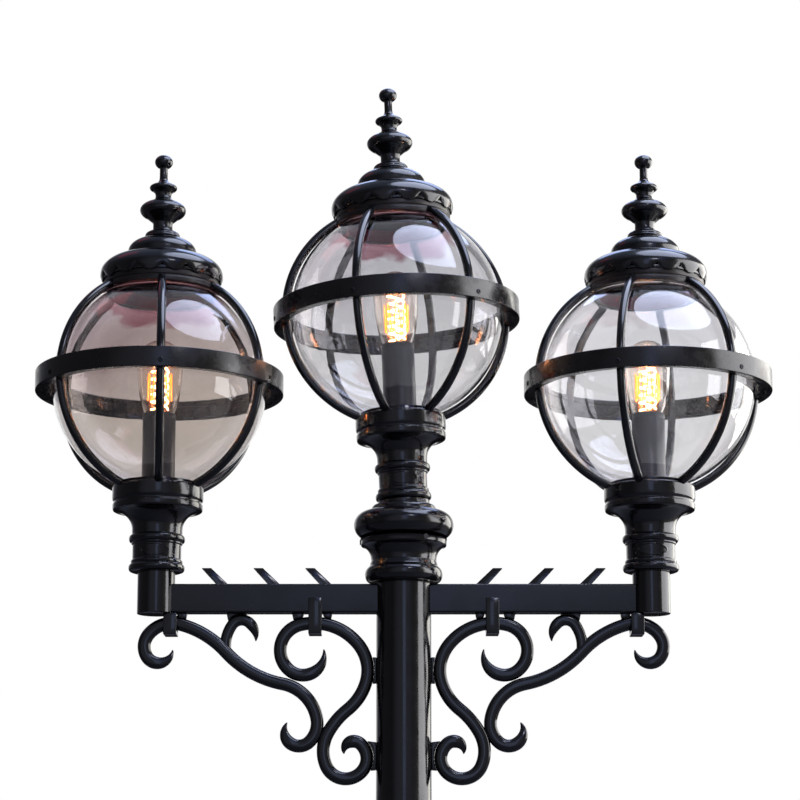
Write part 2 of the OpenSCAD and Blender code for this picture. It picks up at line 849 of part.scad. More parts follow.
// Cusps cut out of the skirt's edge, so that lobes hang between them.
module scallop_cuts() {
    half = PI * canopy_r / scallops;
    lobe = (half * half + scallop_h * scallop_h) / (2 * scallop_h);
    function drop(t) = lobe - sqrt(lobe * lobe - pow(half - abs(t), 2));
    outline = concat([[-half, -e], [half, -e]],
        [for (k = [5:-1:-5]) [half * k / 5, drop(half * k / 5)]]);
    for (k = [0:scallops - 1]) rotate([0, 0, k * 360 / scallops])
        translate([0, -canopy_r + canopy_wall + 3, 0]) rotate([90, 0, 0])
            linear_extrude(canopy_wall + 10) polygon(outline);
}

function finial_profile() = let (
    d = disc_d / 2) concat(
    [[0, 0], [24, 0], [25.6, 1.2], [25.6, 2.6], [24.4, 3.4]],
    bow([12.4, 4], 12.4, 7.2, 12, 80, 5),
    [[13.9, 15], [13.7, 21], [14.6, 24], [d * 0.55, 26.7]],
    bow([0, 41.9], d, 15.5, -48, 62, 12),
    [[13.5, 57.9], [11.6, 59.9], [11, 63.9], [12, 67.4]],
    bow([9.4, 75.4], 10.2, 5.5, -58, 70, 6),
    [[8.6, 83.4], [6.2, 86.9], [5.7, 90.9], [5.7, 104.4]],
    bow([0, 113.9], 12.9, 10.4, -62, 90, 10));

module finial(i) {
    color(paint) place(i) translate([0, 0, finial_z]) {
        rotate_extrude() polygon(finial_profile());
        translate([0, 0, -canopy_wall - 4])
            cylinder(r = 5 - seat, h = canopy_wall + 5);
    }
}

module hinge_pin(i) {
    color("#2a2b2e") place(i) {
        translate([-lug_w - lug_gap - 0.5, hinge_y, hinge_z])
            rotate([0, 90, 0])
                cylinder(r = pin_d / 2, h = 2 * lug_w + 2 * lug_gap + 1);
    }
}

column_tube();
mast_stop_ring();
collar();
arm(-1);  // arm_left
arm(1);  // arm_right
post(-1);  // post_left
post(1);  // post_right
climb_spikes();
outer_scroll(-1);  // outer_scroll_left
outer_scroll(1);  // outer_scroll_right
inner_scroll(-1);  // inner_scroll_left
inner_scroll(1);  // inner_scroll_right
scroll_clips();
scroll_packers();
terminal_block();
lamp_cables();
grub_screws();
base(0);  // base_left
lower_cage(0);  // lower_cage_left
upper_cage(0);  // upper_cage_left
band(0);  // band_left
globe(0);  // globe_left
lamp_tube(0);  // lamp_tube_left
lampholder(0);  // lampholder_left
bulb_glass(0);  // bulb_glass_left
bulb_cap(0);  // bulb_cap_left
filament(0);  // filament_left
lantern_screws(0);  // lantern_screws_left
canopy(0);  // canopy_left
finial(0);  // finial_left
hinge_pin(0);  // hinge_pin_left
base(1);  // base_centre
lower_cage(1);  // lower_cage_centre
upper_cage(1);  // upper_cage_centre
band(1);  // band_centre
globe(1);  // globe_centre
lamp_tube(1);  // lamp_tube_centre
lampholder(1);  // lampholder_centre
bulb_glass(1);  // bulb_glass_centre
bulb_cap(1);  // bulb_cap_centre
filament(1);  // filament_centre
lantern_screws(1);  // lantern_screws_centre
canopy(1);  // canopy_centre
finial(1);  // finial_centre
hinge_pin(1);  // hinge_pin_centre
base(2);  // base_right
lower_cage(2);  // lower_cage_right
upper_cage(2);  // upper_cage_right
band(2);  // band_right
globe(2);  // globe_right
lamp_tube(2);  // lamp_tube_right
lampholder(2);  // lampholder_right
bulb_glass(2);  // bulb_glass_right
bulb_cap(2);  // bulb_cap_right
filament(2);  // filament_right
lantern_screws(2);  // lantern_screws_right
canopy(2);  // canopy_right
finial(2);  // finial_right
hinge_pin(2);  // hinge_pin_right
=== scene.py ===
"""Looks for a three-lantern street-lamp head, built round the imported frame.

Sizes are millimetres in the classes below and metres in every mesh. Heights
in a lantern are measured from the underside of its base casting.
"""

import json
import logging
import math
from dataclasses import dataclass, field
from enum import Enum
from typing import Any, Callable, Iterable

import bmesh
import bpy
from mathutils import Matrix, Vector

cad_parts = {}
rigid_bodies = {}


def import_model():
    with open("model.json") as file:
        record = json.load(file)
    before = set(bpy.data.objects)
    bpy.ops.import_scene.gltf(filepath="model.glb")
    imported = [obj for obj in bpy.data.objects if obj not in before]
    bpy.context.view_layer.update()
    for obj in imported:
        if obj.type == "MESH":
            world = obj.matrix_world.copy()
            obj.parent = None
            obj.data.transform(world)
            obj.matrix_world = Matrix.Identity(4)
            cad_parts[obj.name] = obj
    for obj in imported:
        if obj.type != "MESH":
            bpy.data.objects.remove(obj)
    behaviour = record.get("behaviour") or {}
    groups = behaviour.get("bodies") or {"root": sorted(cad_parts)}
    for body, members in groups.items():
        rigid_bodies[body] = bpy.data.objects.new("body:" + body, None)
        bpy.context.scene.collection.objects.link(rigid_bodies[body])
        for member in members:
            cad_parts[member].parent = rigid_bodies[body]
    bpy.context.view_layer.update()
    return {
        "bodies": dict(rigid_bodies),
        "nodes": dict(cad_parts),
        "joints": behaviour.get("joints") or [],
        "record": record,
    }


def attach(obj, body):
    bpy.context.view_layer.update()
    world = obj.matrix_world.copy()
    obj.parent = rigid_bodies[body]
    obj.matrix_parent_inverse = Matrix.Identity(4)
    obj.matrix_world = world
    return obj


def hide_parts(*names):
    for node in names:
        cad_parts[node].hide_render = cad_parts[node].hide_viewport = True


MM = 0.001
# clearances in millimetres: round a tube in its bore, and between stacked parts
BORE_GAP = 0.2
REST_GAP = 0.3
log = logging.getLogger("lamp_head")

Point = tuple[float, float]
Profile = list[Point]
Spot = tuple[float, float, float]
Tree = bpy.types.NodeTree
Socket = bpy.types.NodeSocket
Object = bpy.types.Object


class Side(Enum):
    """The two arms of the head."""

    LEFT = -1
    RIGHT = 1

    @property
    def tag(self) -> str:
        """The ending of this side's node names."""
        return self.name.lower()


class Berth(Enum):
    """The three lantern places, each with the turn of its cage in degrees."""

    LEFT = ("left", 6.0)
    CENTRE = ("centre", -20.0)
    RIGHT = ("right", -19.0)

    @property
    def tag(self) -> str:
        """The ending of this lantern's node names."""
        return self.value[0]

    @property
    def turn(self) -> float:
        """How far a rib stands to the right of front, in degrees."""
        return self.value[1]


# ---------------------------------------------------------------- helpers

def linear(hex_colour: str) -> tuple[float, float, float, float]:
    """Turns an sRGB hex colour into linear values.

    Args:
        hex_colour: six hex digits with a leading hash.

    Returns:
        Linear red, green, blue and an alpha of one.
    """
    raw = [int(hex_colour[i:i + 2], 16) / 255 for i in (1, 3, 5)]
    out = [c / 12.92 if c <= 0.04045 else ((c + 0.055) / 1.055) ** 2.4 for c in raw]
    return (out[0], out[1], out[2], 1.0)


def node(tree: Tree, kind: str, settings: dict[str, Any] | None = None,
         inputs: dict[Any, Any] | None = None) -> bpy.types.Node:
    """Adds a node with its settings and links.

    Args:
        tree: the shader or geometry tree that gets the node.
        kind: the node's type identifier.
        settings: attributes of the node.
        inputs: values or sockets for its inputs, by name or number.

    Returns:
        The new node.
    """
    made = tree.nodes.new(kind)
    for key, value in (settings or {}).items():
        setattr(made, key, value)
    for key, value in (inputs or {}).items():
        socket = made.inputs[key]
        if isinstance(value, Socket):
            tree.links.new(value, socket)
        else:
            socket.default_value = value
    return made


@dataclass(frozen=True)
class Pen:
    """Draws common nodes into one tree and hands back their results."""

    tree: Tree

    def add(self, kind: str, settings: dict[str, Any] | None = None,
            **inputs: Any) -> Socket:
        """Adds a node.

        Args:
            kind: the node's type identifier.
            settings: attributes of the node.
            inputs: values or sockets by name, with _ for a space.

        Returns:
            Its first output.
        """
        named = {key.replace("_", " "): value for key, value in inputs.items()}
        return node(self.tree, kind, settings, named).outputs[0]

    def paint(self, **inputs: Any) -> Socket:
        """A Principled shader; Args and Returns as in add."""
        return self.add("ShaderNodeBsdfPrincipled", **inputs)

    def maths(self, operation: str, *values: Any) -> Socket:
        """One step of arithmetic on two or three values or sockets."""
        return node(self.tree, "ShaderNodeMath", {"operation": operation},
                    dict(enumerate(values))).outputs[0]

    def noise(self, place: Socket, size: float, **inputs: Any) -> Socket:
        """Noise with patches of a size in millimetres; other Args as in add."""
        return self.add("ShaderNodeTexNoise", Vector=place, Scale=1 / (size * MM), **inputs)

    def mixed(self, share: Socket, first: Any, second: Any) -> Socket:
        """Blends two colours.

        Args:
            share: how much of the second colour shows.
            first: an sRGB hex colour, or a socket.
            second: an sRGB hex colour, or a socket.

        Returns:
            The blend.
        """
        ends = [linear(c) if isinstance(c, str) else c for c in (first, second)]
        return node(self.tree, "ShaderNodeMix", {"data_type": "RGBA"}, {
            0: share, 6: ends[0], 7: ends[1]}).outputs[2]

    def remap(self, value: Socket, low: float, high: Any, to_low: float = 0.0,
              to_high: float = 1.0, smooth: bool = False) -> Socket:
        """Carries one range of values to another and stops at its ends.

        Args:
            value: what is carried.
            low: where the range starts.
            high: where it ends.
            to_low: what its start becomes.
            to_high: what its end becomes.
            smooth: whether the step is an S-curve and not a straight line.

        Returns:
            The new value.
        """
        return self.add("ShaderNodeMapRange", {
            "interpolation_type": "SMOOTHSTEP" if smooth else "LINEAR"},
            Value=value, From_Min=low, From_Max=high, To_Min=to_low, To_Max=to_high)

    def bump(self, height: Socket, strength: float, depth: float,
             under: Socket | None = None) -> Socket:
        """Turns a height into a bump.

        Args:
            height: the height, from 0 to 1.
            strength: how strongly it shows.
            depth: its full depth, in millimetres.
            under: the bump that it lies on, if any.

        Returns:
            The bent normal.
        """
        below = {"Normal": under} if under else {}
        return self.add("ShaderNodeBump", Strength=strength, Distance=depth * MM,
                        Height=height, **below)

    def parts(self, vector: Socket) -> Any:
        """The outputs X, Y and Z of a vector."""
        return node(self.tree, "ShaderNodeSeparateXYZ", inputs={0: vector}).outputs

    def rise(self, height: Socket) -> Socket:
        """A vector along Z alone."""
        return self.add("ShaderNodeCombineXYZ", Z=height)

    def blend(self, share: Socket, first: Socket, second: Socket) -> Socket:
        """A blend of two shaders."""
        return node(self.tree, "ShaderNodeMixShader", inputs={
            0: share, 1: first, 2: second}).outputs[0]

    def ray(self, kind: str) -> Socket:
        """Whether a ray is of a kind, such as Camera."""
        return node(self.tree, "ShaderNodeLightPath").outputs[f"Is {kind} Ray"]

    def seen(self) -> Socket:
        """Whether the eye meets a surface, straight or through glass."""
        return self.maths("MAXIMUM", self.ray("Camera"), self.ray("Transmission"))

    def sunlit(self, glass: Socket, tone: Socket) -> Socket:
        """Glass that lamps shine through without being bent."""
        clear = self.add("ShaderNodeBsdfTransparent", Color=tone)
        return self.blend(self.ray("Shadow"), glass, clear)


def arc(centre: Point, rx: float, rz: float, start: float, end: float,
        steps: int = 10) -> Profile:
    """Points of an elliptic arc.

    Args:
        centre: its centre.
        rx: half width.
        rz: half height.
        start: first angle in degrees.
        end: last angle in degrees.
        steps: how many chords it has.

    Returns:
        The points from start to end.
    """
    out = []
    for i in range(steps + 1):
        a = math.radians(start + (end - start) * i / steps)
        out.append((centre[0] + rx * math.cos(a), centre[1] + rz * math.sin(a)))
    return out


def softened(points: Profile, radius: float, loop: bool = True, steps: int = 3,
             least: float = 24.0) -> Profile:
    """Rounds the sharp corners of a profile, as a casting or a rolled edge has them.

    Args:
        points: the profile.
        radius: how far from a corner the rounding starts, at most.
        loop: whether the profile closes on itself.
        steps: chords in each rounding.
        least: corners that turn by less than this many degrees stay.

    Returns:
        The rounded profile.
    """
    out: Profile = []
    n = len(points)
    for i, p in enumerate(points):
        if not loop and i in (0, n - 1):
            out.append(p)
            continue
        a, c, b = Vector(points[i - 1]), Vector(p), Vector(points[(i + 1) % n])
        u, v = a - c, b - c
        if u.length < 1e-6 or v.length < 1e-6 or (p[0] < 1e-6):
            out.append(p)
            continue
        turn = 180 - math.degrees(u.angle(v))
        if turn < least:
            out.append(p)
            continue
        cut = min(radius, 0.42 * u.length, 0.42 * v.length)
        s, t = c + u.normalized() * cut, c + v.normalized() * cut
        for k in range(steps + 1):
            f = k / steps
            q = s * (1 - f) ** 2 + c * 2 * f * (1 - f) + t * f ** 2
            out.append((q.x, q.y))
    return out


@dataclass
class Shell:
    """Collects the faces of one piece, in millimetres, and makes its mesh."""

    name: str
    verts: list[Vector] = field(default_factory=list)
    faces: list[tuple[int, ...]] = field(default_factory=list)

    def rings(self, rows: list[list[Vector]], loop: bool = False) -> None:
        """Joins rows of points into a skin.

        Args:
            rows: rings of equal length, or single points for poles.
            loop: whether the last row joins the first.
        """
        marks = []
        for row in rows:
            marks.append(list(range(len(self.verts), len(self.verts) + len(row))))
            self.verts.extend(row)
        pairs = list(zip(marks, marks[1:])) + ([(marks[-1], marks[0])] if loop else [])
        for low, high in pairs:
            n = max(len(low), len(high))
            for j in range(n):
                k = (j + 1) % n
                quad = [low[j % len(low)], low[k % len(low)],
                        high[k % len(high)], high[j % len(high)]]
                face = tuple(dict.fromkeys(quad))
                if len(face) > 2:
                    self.faces.append(face)

    def lathe(self, profile: Profile, segments: int = 96, loop: bool = True,
              ease: float = 0.0, least: float = 24.0,
              at: Matrix = Matrix.Identity(4)) -> None:
        """Turns a profile round the Z axis.

        Args:
            profile: radius and height of each point; radius 0 makes a pole.
            segments: steps round the axis.
            loop: whether the profile is a closed loop off the axis.
            ease: how far from a corner its rounding starts; 0 leaves it sharp.
            least: corners that turn by less than this many degrees stay.
            at: where the turned skin goes, in millimetres.
        """
        if ease:
            profile = softened(profile, ease, loop, least=least)
        rows = []
        for r, z in profile:
            turns = (2 * math.pi * j / segments - math.pi / 2 for j in range(segments))
            rows.append([at @ Vector((0, 0, z))] if r < 1e-6 else
                        [at @ Vector((r * math.cos(t), r * math.sin(t), z)) for t in turns])
        self.rings(rows, loop)

    def capped(self, rows: list[list[Vector]]) -> None:
        """Joins rows of equal length and closes both ends.

        Args:
            rows: the sections, one after another.
        """
        first, n = len(self.verts), len(rows[0])
        self.rings(rows)
        last = first + n * (len(rows) - 1)
        self.faces.append(tuple(range(first + n - 1, first - 1, -1)))
        self.faces.append(tuple(range(last, last + n)))

    def prism(self, outline: Profile, stations: list[Matrix]) -> None:
        """Carries an outline along stations and closes both ends.

        Args:
            outline: the section's points.
            stations: where the section stands, its plane being local XY.
        """
        self.capped([[m @ Vector((x, y, 0)) for x, y in outline] for m in stations])

    def build(self, finish: "Finish", at: Matrix = Matrix.Identity(4),
              crease: float = 32.0) -> Object:
        """Makes the object, in metres, with outward faces.

        Args:
            finish: the finish that it gets.
            at: its place, in millimetres.
            crease: edges that turn by more than this many degrees stay sharp.

        Returns:
            The new object.
        """
        mesh = bpy.data.meshes.new(self.name)
        mesh.from_pydata([(at @ v) * MM for v in self.verts], [], self.faces)
        close = bmesh.new()
        close.from_mesh(mesh)
        bmesh.ops.remove_doubles(close, verts=close.verts, dist=1e-6)
        bmesh.ops.recalc_face_normals(close, faces=close.faces)
        close.to_mesh(mesh)
        close.free()
        return dressed(self.name, mesh, finish, crease)


def linked(name: str, data: Any) -> Object:
    """Makes an object and links it to the scene.

    Args:
        name: the object's name.
        data: its mesh, lamp or camera.

    Returns:
        The new object.
    """
    made = bpy.data.objects.new(name, data)
    bpy.context.scene.collection.objects.link(made)
    return made


def dressed(name: str, mesh: bpy.types.Mesh, finish: "Finish",
            crease: float = 32.0) -> Object:
    """Makes an object of a mesh and shades it smoothly.

    Args:
        name: the object's name.
        mesh: its mesh, in metres.
        finish: the finish that it gets.
        crease: edges that turn by more than this many degrees stay sharp.

    Returns:
        The new object, linked to the scene.
    """
    mesh.shade_smooth()
    mesh.set_sharp_from_angle(angle=math.radians(crease))
    mesh.materials.clear()
    mesh.materials.append(finish.material())
    return linked(name, mesh)


def settle(piece: "Object | Shell", body: str, finish: "Finish", *nodes: str,
           at: Matrix = Matrix.Identity(4), crease: float = 32.0) -> None:
    """Hands a finished piece to the frame.

    Args:
        piece: the finished object, or the shell that it is built of.
        body: the body it rides on.
        finish: its finish, given to a shell's piece when it is built.
        nodes: the nodes it stands for.
        at: the place of a shell's piece, in millimetres.
        crease: edges of a shell that turn by more than this many degrees stay sharp.
    """
    if isinstance(piece, Shell):
        piece = piece.build(finish, at, crease)
    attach(piece, body)
    if nodes:
        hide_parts(*nodes)
    log.info("%s: %d faces on %s", piece.name, len(piece.data.polygons), body)


# ---------------------------------------------------------------- finishes

@dataclass(frozen=True)
class Finish:
    """A surface finish: a named material built from nodes."""

    name: str
    slot: str

    def material(self) -> bpy.types.Material:
        """The material, made the first time it is asked for."""
        found = bpy.data.materials.get(self.name)
        if found:
            return found
        made = bpy.data.materials.new(self.name)
        made.use_nodes = True
        made.node_tree.nodes.clear()
        pen = Pen(made.node_tree)
        place = node(pen.tree, "ShaderNodeTexCoord").outputs["Object"]
        node(pen.tree, "ShaderNodeOutputMaterial", inputs={
            "Surface": self.surface(pen, place)})
        return made

    def surface(self, pen: Pen, place: Socket) -> Socket:
        """Builds the shader.

        Args:
            pen: draws into the material's tree.
            place: the piece's object coordinates, in metres.

        Returns:
            The shader's output.
        """
        raise NotImplementedError


@dataclass(frozen=True)
class Enamel(Finish):
    """Black gloss enamel, sprayed on cast iron or steel tube.

    The eye sees near-black with long soft highlights, broken by orange peel
    on tube and by the sand-cast skin on castings.
    """

    dark: str = "#030304"
    pale: str = "#0a0a0e"
    dust: str = "#2a2a2e"
    smooth: float = 0.09
    rough: float = 0.24
    peel_mm: float = 2.2
    peel: float = 0.10
    dust_share: float = 0.10
    lump_mm: float = 28.0
    grit_mm: float = 5.5

    def surface(self, pen: Pen, place: Socket) -> Socket:
        """Builds the enamel's shader.

        Args:
            pen: draws into the material's tree.
            place: the piece's object coordinates, in metres.

        Returns:
            The shader's output.
        """
        cloud = pen.noise(place, self.lump_mm, Detail=4.0, Roughness=0.6)
        skin = pen.noise(place, self.peel_mm)
        grit = pen.noise(place, self.grit_mm, Detail=5.0, Roughness=0.7)
        specks = pen.remap(grit, 0.60, 0.72, 0.0, self.dust_share)
        tone = pen.mixed(specks, pen.mixed(cloud, self.dark, self.pale), self.dust)
        peel = pen.bump(skin, self.peel, 0.4)
        return pen.paint(
            Base_Color=tone, Roughness=pen.remap(cloud, 0.3, 0.7, self.smooth, self.rough),
            Coat_Weight=0.4, Coat_Roughness=0.05,
            Normal=pen.bump(cloud, self.peel * 2.5, 0.5, peel))


@dataclass(frozen=True)
class SatinBar(Finish):
    """Satin enamel over hot-rolled bar: the belts and the flat tube of the arms.

    The eye sees a warm near-black that is brushed along the bar, with cloudy
    paler patches where the paint is thin.
    """

    dark: str = "#060505"
    pale: str = "#1b1817"
    cloud_mm: float = 30.0
    smooth: float = 0.16
    rough: float = 0.42
    # brush strokes are 0.3 mm wide; drawn 1.2 mm so that they show
    stroke_mm: float = 1.2
    stretch: float = 9.0

    def surface(self, pen: Pen, place: Socket) -> Socket:
        """Builds the satin bar's shader.

        Args:
            pen: draws into the material's tree.
            place: the piece's object coordinates, in metres.

        Returns:
            The shader's output.
        """
        cloud = pen.noise(place, self.cloud_mm, Detail=5.0, Roughness=0.65)
        along = pen.add("ShaderNodeMapping", Vector=place, Scale=(1.0, 1.0, self.stretch))
        brush = pen.noise(along, self.stretch * self.stroke_mm, Detail=3.0)
        return pen.paint(
            Base_Color=pen.mixed(cloud, self.dark, self.pale),
            Roughness=pen.remap(cloud, 0.35, 0.65, self.rough, self.smooth),
            Coat_Weight=0.2, Coat_Roughness=0.16,
            Normal=pen.bump(cloud, 0.25, 0.6, pen.bump(brush, 0.12, 0.4)))


@dataclass(frozen=True)
class SootedBronze(Finish):
    """Dark bronze paint, browned by lamp heat: the mouth ring and the lamp tubes.

    The eye sees warm grey-brown with rusty patches and soft highlights.
    """

    dark: str = "#0b0908"
    pale: str = "#221a16"
    rust: str = "#4a2010"
    metal: float = 0.25
    cloud_mm: float = 16.0
    spot_mm: float = 9.0

    def surface(self, pen: Pen, place: Socket) -> Socket:
        """Builds the bronze paint's shader.

        Args:
            pen: draws into the material's tree.
            place: the piece's object coordinates, in metres.

        Returns:
            The shader's output.
        """
        cloud = pen.noise(place, self.cloud_mm, Detail=6.0, Roughness=0.7)
        spots = pen.add("ShaderNodeTexVoronoi", Vector=place, Scale=1 / (self.spot_mm * MM))
        tone = pen.mixed(pen.remap(spots, 0.30, 0.05, 0.0, 0.35),
                         pen.mixed(cloud, self.dark, self.pale), self.rust)
        return pen.paint(
            Base_Color=tone, Roughness=pen.remap(cloud, 0.0, 1.0, 0.28, 0.55),
            Metallic=self.metal, Coat_Weight=0.2, Coat_Roughness=0.2,
            Normal=pen.bump(cloud, 0.25, 0.5))


@dataclass(frozen=True)
class BlownGlass(Finish):
    """Blown glass: clear to look through, mirror-like at the rim.

    Its colour is painted light: a painted reflection of the surroundings, one tint below and
    another above, a painted shade on the left of the upper half and a painted wine-red
    reflection just under the mouth, all fading to near-white towards the rim. Slow ripples come
    from blowing.
    """

    # painted light: low and high tint the painted reflection of the surroundings, shade is
    # painted shade, the red reflection is painted too, and rim is the near-white they fade to
    low: str = "#cdc6bf"
    high: str = "#bdb2b0"
    shade: str = "#a08c8b"
    flush: str = "#842140"
    flush_share: float = 0.85
    rim: str = "#f1eff1"
    centre: tuple[float, float] = (0.0, 0.0)
    radius: float = 150.0
    index: float = 1.5

    def surface(self, pen: Pen, place: Socket) -> Socket:
        """Builds the glass's shader.

        Args:
            pen: draws into the material's tree.
            place: the piece's object coordinates, in metres.

        Returns:
            The shader's output.
        """
        x, z = (-c / self.radius for c in self.centre)
        # from here on the globe's radius is 1
        local = pen.add("ShaderNodeMapping", Vector=place, Location=(x, 0.0, z),
                        Scale=(1 / (self.radius * MM),) * 3)
        parts = pen.parts(local)
        cloud = pen.add("ShaderNodeTexNoise", Vector=local, Scale=2.5, Detail=3.0)
        wavy = pen.maths("MULTIPLY_ADD", cloud, 0.5, parts["Z"])
        # painted reflection of the surroundings: the high tint over the upper half, the low one
        # below
        up = pen.remap(wavy, 0.0, 0.7)
        # painted shade on the left of the upper half
        corner = pen.maths("MULTIPLY", up, pen.remap(parts["X"], 0.1, -0.8))
        # painted red reflection: a wine-red band just under the mouth
        mouth = pen.remap(wavy, 0.98, 1.04, 0.0, self.flush_share)
        # the painted reflections and painted shade fade to near-white towards the globe's rim
        edge = node(pen.tree, "ShaderNodeLayerWeight", inputs={"Blend": 0.5})
        clears = pen.remap(edge.outputs["Facing"], 0.14, 0.5, 0.0, 0.92, True)
        tone: Any = self.low
        for share, colour in ((up, self.high), (corner, self.shade), (mouth, self.flush),
                              (clears, self.rim)):
            tone = pen.mixed(share, tone, colour)
        glass = pen.paint(Base_Color=tone, Roughness=0.015, IOR=self.index,
                          Transmission_Weight=1.0, Normal=pen.bump(cloud, 0.24, 1.2))
        return pen.sunlit(glass, tone)


@dataclass(frozen=True)
class LampGlass(Finish):
    """Thin lamp glass with a breath of amber.

    The eye sees clear walls with thin bright edges and a painted orange glow: the glass itself
    gives off light that fills the middle and dies away to the sides.
    """

    tint: str = "#fffcf9"
    deep: str = "#fdf3ea"
    # colour, strength and falloff of the painted glow
    glow: str = "#ff8a26"
    strength: float = 0.08
    fall: float = 11.0
    cloud_mm: float = 14.0

    def surface(self, pen: Pen, place: Socket) -> Socket:
        """Builds the lamp glass's shader.

        Args:
            pen: draws into the material's tree.
            place: the piece's object coordinates, in metres.

        Returns:
            The shader's output.
        """
        tone = pen.mixed(pen.noise(place, self.cloud_mm, Detail=3.0), self.tint, self.deep)
        # painted glow: the glass emits orange light, strongest where it faces the eye and fading
        # towards its edges
        edge = node(pen.tree, "ShaderNodeLayerWeight", inputs={"Blend": 0.5})
        middle = pen.maths("SUBTRACT", 1.0, edge.outputs["Facing"])
        painted_glow_strength = pen.maths("MULTIPLY", pen.maths("POWER", middle, self.fall), self.strength)
        glass = pen.paint(Base_Color=tone, Roughness=0.02, IOR=1.45,
                          Transmission_Weight=1.0, Emission_Color=linear(self.glow),
                          Emission_Strength=painted_glow_strength)
        return pen.sunlit(glass, tone)


@dataclass(frozen=True)
class HotWire(Finish):
    """Glowing filament wire: white-hot, or golden where it runs cooler."""

    hot: str = "#ffdcae"
    cool: str = "#ff9a3c"
    strength: float = 40.0
    cloud_mm: float = 7.0

    def surface(self, pen: Pen, place: Socket) -> Socket:
        """Builds the wire's shader.

        Args:
            pen: draws into the material's tree.
            place: the piece's object coordinates, in metres.

        Returns:
            The shader's output.
        """
        heat = pen.mixed(pen.noise(place, self.cloud_mm, Detail=1.0), self.hot, self.cool)
        return pen.paint(Base_Color=heat, Roughness=0.5, Emission_Color=heat,
                         Emission_Strength=self.strength)


@dataclass(frozen=True)
class Hardware(Finish):
    """Small parts seen at arm's length: brass, porcelain, rubber, moulded block, steel.

    Each has its own colour pair, grain and gloss, and a fine surface texture.
    """

    dark: str = "#808080"
    pale: str = "#a0a0a0"
    metal: float = 0.0
    gloss: float = 0.35
    grain_mm: float = 4.0
    relief: float = 0.1
    coat: float = 0.0

    def surface(self, pen: Pen, place: Socket) -> Socket:
        """Builds the hardware's shader.

        Args:
            pen: draws into the material's tree.
            place: the piece's object coordinates, in metres.

        Returns:
            The shader's output.
        """
        grain = pen.noise(place, self.grain_mm, Detail=4.0)
        return pen.paint(
            Base_Color=pen.mixed(grain, self.dark, self.pale),
            Roughness=pen.remap(grain, 0.0, 1.0, self.gloss * 0.7, self.gloss * 1.4),
            Metallic=self.metal, Coat_Weight=self.coat,
            Normal=pen.bump(grain, self.relief, 0.3))


@dataclass(frozen=True)
class FloorPaint(Finish):
    """Matt pale floor paint with a faint rolled texture."""

    warm: str = "#f3eedd"
    pale: str = "#f8f3e4"
    dull: str = "#55555a"
    roll_mm: float = 300.0

    def surface(self, pen: Pen, place: Socket) -> Socket:
        """Builds the floor's shader.

        Args:
            pen: draws into the material's tree.
            place: the piece's object coordinates, in metres.

        Returns:
            The shader's output.
        """
        tone = pen.mixed(pen.noise(place, self.roll_mm, Detail=3.0), self.warm, self.pale)
        # to gloss and bounced light the floor is duller, so that undersides stay dark
        shown = pen.mixed(pen.seen(), self.dull, tone)
        paint = pen.paint(Base_Color=shown, Roughness=0.85)
        # the floor's rim fades into the surround
        far = node(pen.tree, "ShaderNodeVectorMath", {"operation": "LENGTH"}, {0: place})
        fade = pen.remap(far.outputs["Value"], 1.1, 2.4, smooth=True)
        return pen.blend(fade, paint, pen.add("ShaderNodeBsdfTransparent"))


TUBE_ENAMEL = Enamel("black_enamel_on_tube", "black_gloss")
CAST_ENAMEL = Enamel("black_enamel_on_casting", "black_gloss", peel_mm=3.2, peel=0.22,
                     dust_share=0.35, lump_mm=13.0)
CANOPY_ENAMEL = Enamel("black_enamel_on_spun_canopy", "black_gloss", smooth=0.12,
                       rough=0.28, peel=0.14, dust_share=0.25)
BELT_ENAMEL = SatinBar("satin_enamel_on_rolled_bar", "black_gloss")
ARM_ENAMEL = SatinBar("satin_enamel_on_square_tube", "black_gloss", dark="#060608",
                      pale="#101116", cloud_mm=55.0, smooth=0.26, rough=0.40)
BRONZE = SootedBronze("heat_browned_bronze_paint", "bronze_paint")
TUBE_BRONZE = SootedBronze("slate_bronze_lamp_tube", "bronze_paint", dark="#0c0c10",
                           pale="#1e1e26", rust="#2e1a14", metal=0.0)
# a wine-red lining paint that shows through the glass as a painted red reflection
LINING_FOR_RED_REFLECTION = SootedBronze("red_oxide_primer", "bronze_paint", dark="#3a0c1a", pale="#5c1830",
                      rust="#7a2038", metal=0.0)
# per lantern: the tints of each globe's painted reflection of the surroundings and of its
# painted shade; the right globe's painted red reflection is weaker
GLOBE_PAINTED_LIGHT: dict[Berth, dict[str, Any]] = {
    Berth.LEFT: dict(low="#d6cfc9", high="#ccc2c0", shade="#aa989c"),
    Berth.CENTRE: dict(low="#e2e2e3", high="#d6d6da", shade="#d0ccd2"),
    Berth.RIGHT: dict(low="#ebebec", high="#e9e9ec", shade="#e8e7ea", flush_share=0.2),
}
LAMP_GLASS = LampGlass("faint_amber_lamp_glass", "bulb_glass")
WIRE = HotWire("white_hot_filament", "filament")
EMBER = HotWire("golden_filament", "filament", hot="#ff9c38", cool="#ff7a1c",
                strength=2.4)
CAP_BRASS = Hardware("rolled_brass_cap", "lamp_cap", "#8a6a34", "#b8934f", metal=1.0,
                     gloss=0.3)
PORCELAIN = Hardware("glazed_porcelain", "porcelain", "#d9d6cd", "#e6e4dc", gloss=0.12,
                     coat=0.6)
SHEATH = Hardware("grey_cable_sheath", "cable", "#b0b0ae", "#c4c4c2", gloss=0.5,
                  relief=0.2)
BLOCK = Hardware("moulded_terminal_block", "terminal_block", "#c9c4b6", "#d8d4c8",
                 gloss=0.55)
BLACK_STEEL = Hardware("blackened_steel", "steel_fixings", "#1a1b1e", "#34353a",
                       metal=0.8, gloss=0.34, grain_mm=2.0)


# ---------------------------------------------------------------- grown pieces

